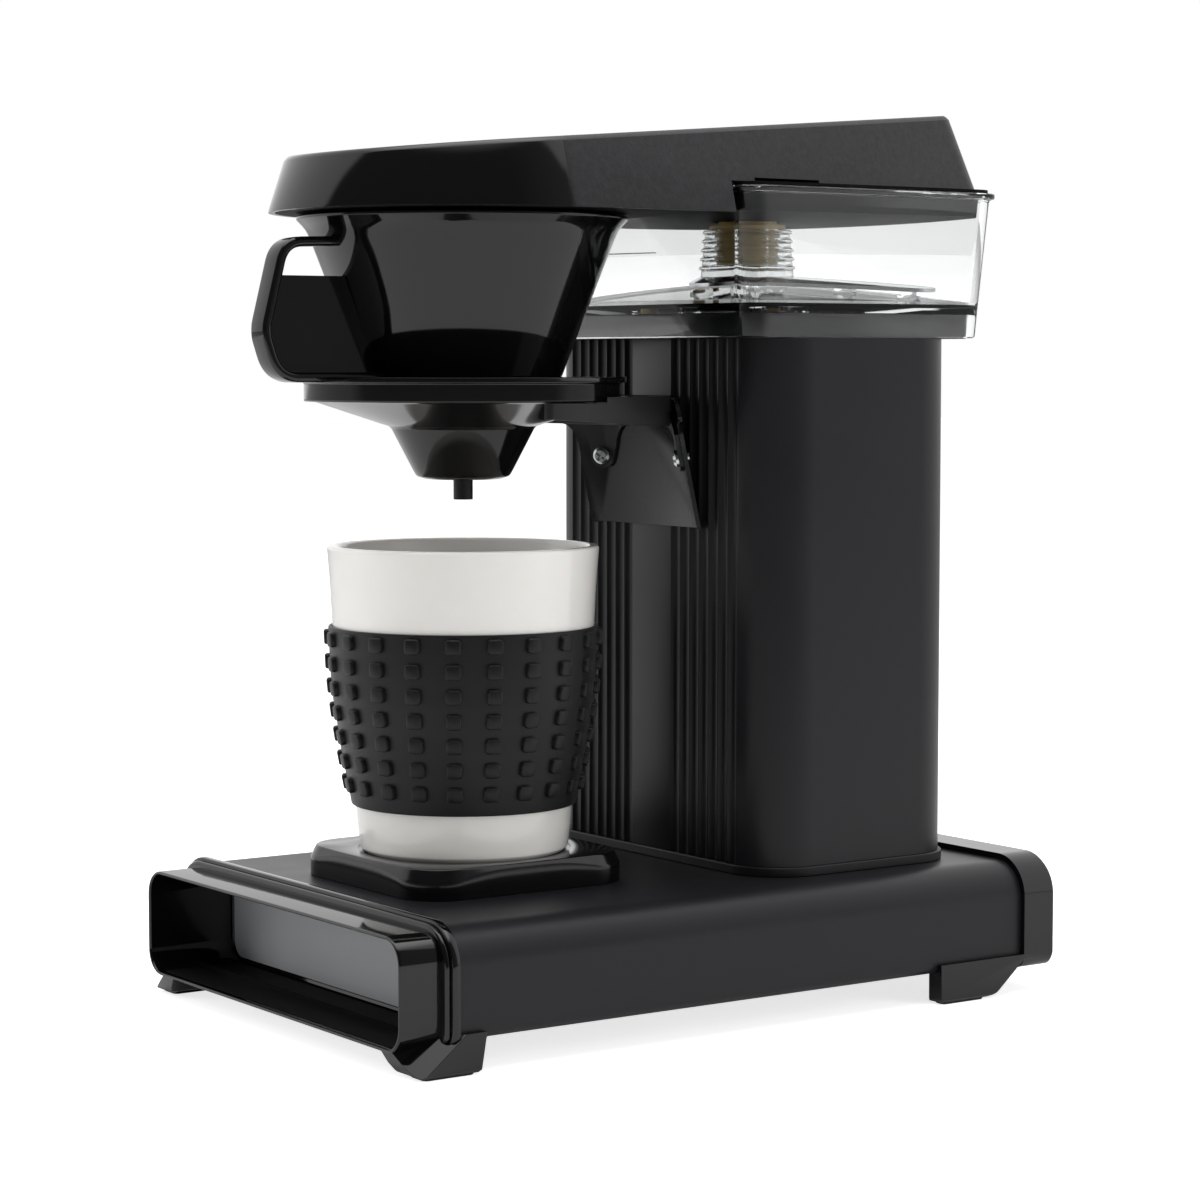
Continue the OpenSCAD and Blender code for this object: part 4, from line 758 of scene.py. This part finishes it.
def front_foot(side):
    """One front foot on the side +1 or -1."""
    work = bmesh.new()
    bmesh.ops.create_cube(work, size=1.0)
    low, high = Vector((foot_x - 24, front_y, foot_low)), Vector((foot_x, ext_y0 + 10, foot_top))
    for vertex in work.verts:
        vertex.co = Vector(low[i] + (vertex.co[i] + 0.5) * (high[i] - low[i]) for i in range(3))
    for (y0, z0), (y1, z1) in zip(foot_side, foot_side[1:]):
        cut_off(work, (0, y0, z0), (0, z1 - z0, y0 - y1))
    for (x0, z0), (x1, z1) in zip(foot_front, foot_front[1:]):
        cut_off(work, (x0, 0, z0), (z0 - z1, 0, x1 - x0))
    cut_off(work, (foot_x, ext_y0 - 0.8, base_low.z + 0.2), toe_facing)
    for vertex in work.verts:
        vertex.co = Vector((vertex.co.x * side, vertex.co.y, vertex.co.z)) / 1000
    bmesh.ops.remove_doubles(work, verts=work.verts, dist=1e-5)
    name = "front_foot_" + ("right" if side > 0 else "left")
    foot = shown(name, closed(work, name, foot_angle, gloss_black))
    foot.data = hollowed(foot)
    smooth(foot.data, foot_angle)
    round_edges(foot, 0.4, 3, 16)
    return settle(foot, "stand", "gloss_black")


feet = [front_foot(side) for side in (1, -1)]
bpy.data.objects.remove(hollow)
print("front feet:", [len(foot.data.polygons) for foot in feet], "faces")

# %% [markdown]
# ## Rubber pads
# A thin rubber pad under each foot keeps the appliance from sliding. Each is a low loft of three
# rings, the lowest drawn in a little, and it reaches from the worktop up to the foot. A box with
# a Bevel would have one radius, and here the outline is rounder than the lower edge.

# %% Rubber pads under the feet
pad_beds = {"front": (foot_x - 5.7, 4.2, front_y + 6.4, ext_y0 + 5.6),
            "rear": (foot_x - 3.4, 2.3, base_high.y - 32.9, base_high.y - 15.9)}
for side, name in ((1, "right"), (-1, "left")):
    for end, (middle, half_w, near_y, far_y) in pad_beds.items():
        rings = []
        for inset, level in ((0.2, 0.0), (0.0, 0.2), (0.0, foot_low)):
            outline = ring_of(half_w - inset, near_y + inset, far_y - inset, 1.5, 0)
            rings.append([(side * middle + x, y, level) for x, y, _ in outline])
        sole = lofted("rubber_pad_" + end + "_" + name, rings, rubber)
        settle(sole, "stand", "foot_rubber", *(("foot_pads",) if (side, end) == (1, "front") else ()))
print("rubber pads:", 2 * len(pad_beds))

# %% [markdown]
# ## The cup stand
# The stand is a rounded square of satin ABS with a round dish on top. Its top is flat up to a
# crisp edge, and the bevel below that edge grows from about a millimetre at the middle of each
# side to four at the corners. A Bevel modifier has one width all round, so rings placed by a rule
# are joined instead. Each is taken at the same angles: the outer ones follow the rounded square,
# the inner ones are circles.

# %% Cup stand
stand_low, stand_high = (corner * 1000 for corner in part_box("cup_stand"))
stand_half, stand_r, stand_h = stand_high.x, 14.0, stand_high.z - stand_low.z
dish_r, dish_d = 33.1, 0.55
turns = [2 * math.pi * k / 240 for k in range(240)]


def square_reach(a):
    """Distance from the middle to the rounded square's outline at the angle a."""
    c, s = abs(math.cos(a)), abs(math.sin(a))
    straight = stand_half / max(c, s)
    if min(c, s) * straight <= stand_half - stand_r:
        return straight
    along = (stand_half - stand_r) * (c + s)
    return along + math.sqrt(along ** 2 - 2 * (stand_half - stand_r) ** 2 + stand_r ** 2)


corner_reach = square_reach(math.pi / 4)


def edge_ring(inset, at_corner, drop, corner_drop):
    """A ring along the outline; its inset and its drop below the top grow towards the corners."""
    ring = []
    for a in turns:
        share = (square_reach(a) - stand_half) / (corner_reach - stand_half)
        share = share * share * (3 - 2 * share)
        r = square_reach(a) - inset - (at_corner - inset) * share
        ring.append((r * math.cos(a), axis_y + r * math.sin(a),
                     stand_high.z - drop - (corner_drop - drop) * share))
    return ring


edge_rows = ((0.3, 0.3, stand_h, stand_h), (0.0, 0.0, stand_h - 0.3, stand_h - 0.3), (0.0, 0.0, 1.35, 4.0),
             (0.06, 0.1, 1.1, 3.65), (0.2, 0.35, 0.9, 3.2), (0.75, 1.5, 0.3, 0.75), (0.9, 1.7, 0.15, 0.36),
             (1.05, 1.9, 0.05, 0.13), (1.25, 2.15, 0.0, 0.0))
dish_rows = ((dish_r + 0.35, 0.0), (dish_r + 0.1, 0.08), (dish_r, 0.25), (dish_r - 0.05, dish_d - 0.1),
             (dish_r - 0.3, dish_d), (8.0, dish_d))
rings = [edge_ring(*row) for row in edge_rows]
for radius, drop in dish_rows:
    rings.append([(radius * math.cos(a), axis_y + radius * math.sin(a), stand_high.z - drop) for a in turns])
stand = lofted("cup_stand_body", rings, satin_abs, angle=50)
settle(stand, "stand", "gloss_black", "cup_stand")
print("cup stand:", round(2 * stand_half, 1), "mm wide,", round(stand_h, 1), "mm high")

# %% [markdown]
# ## The brew basket
# The cone holds a paper filter. Its glossy wall is drawn straight, and flares a little into the
# rim. It stands on a round collar with a lip, and under the collar a funnel leads to the drip
# nozzle. Cone and collar are two mouldings, so each is turned from its own profile.

# %% Cone
cone_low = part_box("basket_cone")[0].z * 1000
cone_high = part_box("basket_cone")[1].z * 1000
tall = cone_high - cone_low
cone_profile = [(0, 0), (30.6, 0), (46.6, tall - 7.5), (48.2, tall - 3.9), (51, tall - 1), (51, tall),
                (49, tall), (44.6, tall - 7.5), (28.6, 3), (0, 3)]
radii = [0, 0.6, 30, 8, 0.5, 0.4, 0.6, 12, 2.5, 0]
cone = turned("basket_cone_wall", rounded([(r, cone_low + z) for r, z in cone_profile], radii), axis_y,
              gloss_black, segments=192)
settle(cone, "basket", "gloss_black", "basket_cone")
print("cone:", round(tall, 1), "mm high")

# %% Collar and funnel
collar_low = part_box("basket_collar")[0].z * 1000
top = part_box("basket_collar")[1].z * 1000
under = top - 7.6
lip_and_well = [(50.6, top - 1.8), (50.6, top), (24.6, top), (24.6, top - 3), (43, top - 3), (41, under + 2)]
funnel_inside = [(21, under - 5), (13.6, collar_low + 3.4), (9.6, collar_low + 2), (3.2, collar_low + 2),
                 (3.2, collar_low)]
funnel_outside = [(11.6, collar_low), (14.4, collar_low + 0.9), (15.6, collar_low + 3), (22.1, under - 8.4),
                  (23, under - 7.6), (44.6, under - 0.4), (46, under), (49, under), (49, top - 1.8)]
radii = [0.4, 0.5, 0.3, 0.2, 0.5, 1] + [2, 2, 1, 0.2, 0.3] + [3, 2, 3, 0.8, 0.8, 1.0, 0.4, 0.7, 0.5]
collar = turned("basket_collar_ring", rounded(lip_and_well + funnel_inside + funnel_outside, radii), axis_y,
                gloss_black, segments=192)
settle(collar, "basket", "gloss_black", "basket_collar")
print("basket from", round(collar_low, 1), "to", round(cone_high, 1), "mm")

# %% [markdown]
# ## The basket's handle
# The handle is a strap that leaves the collar, turns up and returns to the cone under its rim,
# with a thin web inside it. The strap is swept: a rounded section is carried along a path of
# straight runs and round bends. A curve with a bevel could carry it too, but rings set along the
# path keep it level without a twist. Its ends sink into the wall of the cone, as on a moulding.

# %% Handle strap and web
handle_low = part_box("basket_handle")[0] * 1000
reach = axis_y - handle_low.y
strap_w, strap_t = 8.6, 3.0
bends = [(30.0, -0.1), (reach - 5.6, -0.1), (reach - 1.1, 13.5), (reach - 7.9, 40.0), (45.4, 40.6)]
strap_path = rounded(bends, [0, 14.0, 12.0, 8.0, 0], 5)


def strap_ring(here, along):
    """The strap's section at a point of (distance before the axis, height over the collar)."""
    normal = Vector((-along.y, along.x))
    ring = []
    for across, off, _ in ring_of(strap_w / 2, -strap_t / 2, strap_t / 2, 1.1, 0, 4):
        spot = here + normal * off
        ring.append((across, axis_y - spot.x, cone_low + spot.y))
    return ring


courses = [(strap_path[min(i + 1, len(strap_path) - 1)] - strap_path[max(i - 1, 0)]).normalized()
           for i in range(len(strap_path))]
strap_rings = [strap_ring(here, along) for here, along in zip(strap_path, courses)]
strap = lofted("basket_handle_strap", strap_rings, gloss_black, angle=40)
settle(strap, "basket", "gloss_black", "basket_handle")
web_t, web_top = 2.6, 30.2
web_edge = [point for point in strap_path if point.y <= web_top and point.x > 31]
web_line = [Vector((30.3, 0.3))] + web_edge + [Vector((reach - 6.1, web_top)), Vector((42.6, web_top))]
web_rings = [[(x, axis_y - point.x, cone_low + point.y) for point in web_line]
             for x in (-web_t / 2, web_t / 2)]
web = lofted("basket_handle_web", web_rings, gloss_black)
settle(web, "basket", "gloss_black")
print("handle reaches", round(reach, 1), "mm in front of the axis")

# %% [markdown]
# ## Ribs in the cone
# Ribs on the inside of the cone hold the wet paper off the wall, so that it drains. They stand on
# the wall at equal turns, and the tree of the pads sets them too: two stretches make one rib.

# %% Ribs in the cone
wall_low, wall_high = Vector((28.6, cone_low + 3)), Vector((44.6, cone_high - 7.5))
first_share, last_share, rib_overlap = 0.26, 0.68, 1.6
rib_mm = (wall_high - wall_low).length * (last_share - first_share) + rib_overlap
rib = rounded_pad("cone_rib", width=1.6, height=rib_mm, thickness=1.4, corner=0.75, crown=0.5)
rib.data.transform(Matrix.Rotation(math.pi, 4, "Z"))
rib_line = [tuple(wall_low.lerp(wall_high, share)) for share in (first_share, last_share)]
ribs = grown("basket_cone_ribs", rib_line, pad_tree, {
    "Pad": rib, "Rows": 2, "Columns": 20, "First angle": 0.0, "Material": gloss_black}, axis_y)
bpy.data.objects.remove(rib)
settle(ribs, "basket", "gloss_black")
print("cone ribs:", len(ribs.data.polygons), "faces")

# %% [markdown]
# ## Tower and bellows in the tank
# The riser ends in a tan silicone bellows, which seals against the lid's outlet tube. A clear
# ribbed tower guides it. Both are turned, and because their ribs and folds repeat at even steps,
# a loop writes that stretch of each profile.

# %% Tower
tower_y = (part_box("guide_tower")[0].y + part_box("guide_tower")[1].y) * 500
low, high = (corner.z * 1000 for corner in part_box("guide_tower"))
tower_ribs = []
for k in range(5):
    z = low + 3 + 3.6 * k
    r = 14.5 - (z - low) * 1.5 / (high - low)
    tower_ribs += [(r, z - 0.2), (r + 0.75, z + 0.3), (r + 0.7, z + 1.1), (r - 0.1, z + 1.6)]
tower_profile = [(14.5, low)] + tower_ribs + [(13.0, high), (10.8, high), (12.3, low)]
radii = [0.2] + [0.3] * len(tower_ribs) + [0.4, 0.4, 0.2]
tower = turned("guide_tower_wall", rounded(tower_profile, radii), tower_y, clear_san, segments=96)
settle(tower, "stand", "clear_plastic", "guide_tower")
print("tower at y =", round(tower_y, 1))

# %% Bellows
low, high = (corner.z * 1000 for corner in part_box("tower_bellows"))
folds = []
for k in range(3):
    z = low + 2 + 4.6 * k
    folds += [(9.2, z - 0.3), (9.9, z + 0.3), (9.9, z + 1.5), (9.2, z + 2.1)]
lip = [(9.2, high - 6.4), (11.6, high - 6.4), (11.6, high - 4.4), (9.2, high - 4.4), (7.8, high)]
bore = [(4.6, high), (4.6, low + 3), (5.15, low + 3), (5.15, low)]
radii = [0.4] + [0.5] * len(folds) + [0.3, 0.6, 0.6, 0.4, 1.2] + [0.4, 0, 0, 0]
bellows = turned("tower_bellows_body", rounded([(9.2, low)] + folds + lip + bore, radii), tower_y,
                 tan_silicone, segments=96)
settle(bellows, "stand", "tan_silicone", "tower_bellows")
print("bellows:", round(high - low, 1), "mm high")

# %% [markdown]
# ## The clear tank
# The tank is one leaning rounded box with an even wall, open at the top, with a floor raised
# above its bottom edge and a rim folded outwards. It is lofted: rounded rings of equal point
# count are stacked from the floor out round the bottom edge, up the outer wall, over the rim
# and down the inner wall, so that light bends through a real, closed wall.

# %% Tank
t_low, t_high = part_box("tank")
bottom, rim_z = t_low.z * 1000, t_high.z * 1000
rim_out = 1.5
half, front, back = t_high.x * 1000 - rim_out, t_low.y * 1000 + rim_out, t_high.y * 1000 - rim_out
lean, wall = 3.2, 2.4
floor_low, floor_top = bottom + 7.8, bottom + 10.0


def wall_ring(inset, z, corner=8.0):
    """A ring on the leaning wall, moved in by inset, at height z."""
    d = inset + lean * (rim_z - z) / (rim_z - bottom)
    return ring_of(half - d, front + d, back - d, max(corner - 0.8 * inset, 1.0), z)


under_floor = [(wall + 12, floor_low), (wall + 1.2, floor_low), (wall + 0.25, floor_low - 0.3),
               (wall, floor_low - 1.4), (wall, bottom + 0.5), (wall - 0.4, bottom + 0.05)]
outer_wall = [(0.6, bottom), (0.1, bottom + 0.4), (0, bottom + 1.2), (0, floor_low), (0, rim_z - 3.0)]
folded_rim = [(-0.15, rim_z - 2.2), (-0.7, rim_z - 1.8), (-1.3, rim_z - 1.7), (-rim_out, rim_z - 1.3),
              (-rim_out, rim_z - 0.3), (-1.2, rim_z), (wall - 0.4, rim_z), (wall, rim_z - 0.4)]
inner_wall = [(wall, floor_top + 2.2), (wall + 0.5, floor_top + 0.7), (wall + 2.0, floor_top),
              (wall + 12, floor_top)]
tank = lofted("tank_shell", [wall_ring(inset, z) for inset, z in
                             under_floor + outer_wall + folded_rim + inner_wall], clear_san, angle=30)
settle(tank, "stand", "clear_plastic", "tank")
print("tank wall:", len(tank.data.polygons), "faces")

# %% [markdown]
# ## Three small plates
# The recess under the front cap is closed at its back by a grey liner, its floor is a dark
# textured tray, and a fine line moulded outside the tank's wall on the -X side marks the highest
# water level. A second material on the faces could draw them, but their outlines don't follow
# the faces, so all are thin plates that lie on what carries them.

# %% Recess liner, recess tray and level mark
def plate(name, corners, thickness, outward, material, slot):
    """A thin plate: its back has the given corners in mm, and it stands out along outward."""
    rise = Vector(outward).normalized() * thickness
    rings = [[tuple(Vector(corner) + rise * share) for corner in corners] for share in (0, 1)]
    settle(lofted(name, rings, material), "stand", slot)


plate("recess_liner", frame_ring(frame_t + 1.6, recess_back), 0.3, (0, -1, 0), liner_grey, "grey_plastic")
tray_half, tray_z = frame_half - frame_r, frame_low + frame_t
tray_front, tray_back = front_y + 2, recess_back - 2
tray = [(-tray_half, tray_front, tray_z), (tray_half, tray_front, tray_z), (tray_half, tray_back, tray_z),
        (-tray_half, tray_back, tray_z)]
plate("recess_tray", tray, 0.3, (0, 0, 1), pan_plastic, "matte_black")
mark_z, mark_h, mark_front, mark_back = 237.0, 0.5, 46.0, 67.0


def outer_wall_x(z):
    """X of the tank's outer face on its -X side at height z."""
    return -(half - lean * (rim_z - z) / (rim_z - bottom))


mark_ring = [(outer_wall_x(z), y, z) for y, z in (
    (mark_front, mark_z), (mark_back, mark_z), (mark_back, mark_z + mark_h), (mark_front, mark_z + mark_h))]
plate("level_mark", mark_ring, 0.25, (-1, 0, 0), matte_plastic, "matte_black")
print("liner at y =", round(recess_back, 1), "mark at z =", mark_z)

# %% [markdown]
# ## Floor and light
# The appliance stands on a pale floor before plain white. Black gloss shows only what it mirrors,
# so the room is made for the mirrors: the half behind the appliance, towards -X, is a white card,
# the half in front is dim, and a bright patch hangs right above. The floor fades to dark in front,
# for mirrored rays alone. A ray that comes straight from the camera, or through clear plastic,
# sees plain white instead. Mirrors don't show the lamps, whose edges would be too hard. White
# china sets the level of the lamps: it must stay just below white.

# %% Floor
floor_grey, dusk_grey = (0.9, 0.9, 0.9, 1.0), (0.06, 0.06, 0.06, 1.0)
white = (1.0, 1.0, 1.0, 1.0)
dusk_towards = (0.822, -0.569, 0.0)
floor_white, floor_tree, floor_shader = start_material(
    "pale_floor", Base_Color=floor_grey, Emission_Color=white, Roughness=0.9, Specular_IOR_Level=0.1)


def direct(tree, rays):
    """1 for a ray from the camera, straight or through clear plastic, that has met no mirror."""
    seen = add(tree, "ShaderNodeMath", {0: rays["Is Camera Ray"], 1: rays["Is Transmission Ray"]},
               operation="MAXIMUM").outputs["Value"]
    unturned = add(tree, "ShaderNodeMath", {0: rays["Glossy Depth"], 1: 0.5},
                   operation="LESS_THAN").outputs["Value"]
    return add(tree, "ShaderNodeMath", {0: seen, 1: unturned}, operation="MULTIPLY").outputs["Value"]


rays = add(floor_tree, "ShaderNodeLightPath").outputs
mirrored = add(floor_tree, "ShaderNodeMath", {0: rays["Is Glossy Ray"], 1: 0.08}, operation="MULTIPLY")
lift = add(floor_tree, "ShaderNodeMath", {
    0: direct(floor_tree, rays), 1: 0.75, 2: mirrored.outputs["Value"]}, operation="MULTIPLY_ADD")
floor_tree.links.new(lift.outputs["Value"], floor_shader.inputs["Emission Strength"])
spot = add(floor_tree, "ShaderNodeTexCoord").outputs["Object"]
ahead = add(floor_tree, "ShaderNodeVectorMath", {0: spot, 1: dusk_towards}, operation="DOT_PRODUCT")
dusk = add(floor_tree, "ShaderNodeMapRange", {
    "Value": ahead.outputs["Value"], "From Min": 0.35, "From Max": 1.0}).outputs["Result"]
dim = add(floor_tree, "ShaderNodeMath", {0: dusk, 1: rays["Is Glossy Ray"]}, operation="MULTIPLY")
shade = add(floor_tree, "ShaderNodeMix", {
    "Factor": dim.outputs["Value"], colour_a: floor_grey, colour_b: dusk_grey}, data_type="RGBA")
floor_tree.links.new(shade.outputs[colour_out], floor_shader.inputs["Base Color"])
floor_half = 8
floor_mesh = bpy.data.meshes.new("studio_floor")
corners = [(x * floor_half, y * floor_half, 0) for x, y in ((-1, -1), (1, -1), (1, 1), (-1, 1))]
floor_mesh.from_pydata(corners, [], [(0, 1, 2, 3)])
floor_mesh.materials.append(floor_white)
shown("studio_floor", floor_mesh)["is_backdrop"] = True
print("floor:", 2 * floor_half, "m wide")

# %% The room that the gloss mirrors
world = bpy.data.worlds.new("studio")
world.use_nodes = True
sky = world.node_tree
sky.nodes.clear()
rays = add(sky, "ShaderNodeLightPath").outputs
look = add(sky, "ShaderNodeTexCoord").outputs["Generated"]
card_middle = math.radians(139.0)
along = add(sky, "ShaderNodeVectorMath", {0: look, 1: (math.cos(card_middle), math.sin(card_middle), 0.0)},
            operation="DOT_PRODUCT").outputs["Value"]
card = add(sky, "ShaderNodeMapRange", {
    "Value": along, "From Min": -0.2, "From Max": -0.12, "To Min": 0.07, "To Max": 0.95},
    interpolation_type="SMOOTHSTEP").outputs["Result"]
axes = add(sky, "ShaderNodeSeparateXYZ", {"Vector": look}).outputs
side = add(sky, "ShaderNodeMapRange", {
    "Value": axes["Y"], "From Min": 0.0, "From Max": 0.6, "To Max": 0.18}).outputs["Result"]
above = add(sky, "ShaderNodeMapRange", {
    "Value": axes["Z"], "From Min": 0.8, "From Max": 0.96, "To Max": 2.2},
    interpolation_type="SMOOTHSTEP").outputs["Result"]
walls = add(sky, "ShaderNodeMath", {0: card, 1: side}, operation="ADD").outputs["Value"]
sweep = add(sky, "ShaderNodeMath", {0: walls, 1: above}, operation="ADD").outputs["Value"]
turned_rays = add(sky, "ShaderNodeMath", {0: rays["Is Glossy Ray"], 1: rays["Is Transmission Ray"]},
                  operation="MAXIMUM").outputs["Value"]
level = add(sky, "ShaderNodeMix", {"Factor": turned_rays, "A": 0.35, "B": sweep}, data_type="FLOAT")
level_out = add(sky, "ShaderNodeMix", {
    "Factor": direct(sky, rays), "A": level.outputs["Result"], "B": 1.0}, data_type="FLOAT")
room = add(sky, "ShaderNodeBackground", {"Color": white, "Strength": level_out.outputs["Result"]})
add(sky, "ShaderNodeOutputWorld", {"Surface": room.outputs["Background"]})
scene.world = world
print("world:", world.name)

# %% Lamps
def panel(name, place, target, width, height, watts):
    """A soft lamp at place, turned to target, that no mirror shows."""
    light = bpy.data.lights.new(name, "AREA")
    light.shape = "RECTANGLE"
    light.size, light.size_y = width, height
    light.energy = watts
    lamp = bpy.data.objects.new(name, light)
    lamp.location = place
    lamp.rotation_euler = (Vector(target) - Vector(place)).to_track_quat("-Z", "Y").to_euler()
    lamp.visible_glossy = lamp.visible_transmission = False
    scene.collection.objects.link(lamp)


panel("top_softbox", (0.1, -0.1, 1.5), (0, 0, 0.1), 1.4, 1.4, 17)
panel("left_softbox", (-0.9, -1.3, 0.7), (0, 0, 0.15), 0.9, 1.2, 10)
panel("right_softbox", (1.5, 0.7, 0.6), (0, 0, 0.15), 0.7, 1.2, 9)

# %% [markdown]
# ## Measure and finish
# The visual model must keep the size of the solids, so its box is printed.

# %% Write the sizes
low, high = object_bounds()
print("visual box:", [round(c, 4) for c in low], [round(c, 4) for c in high])
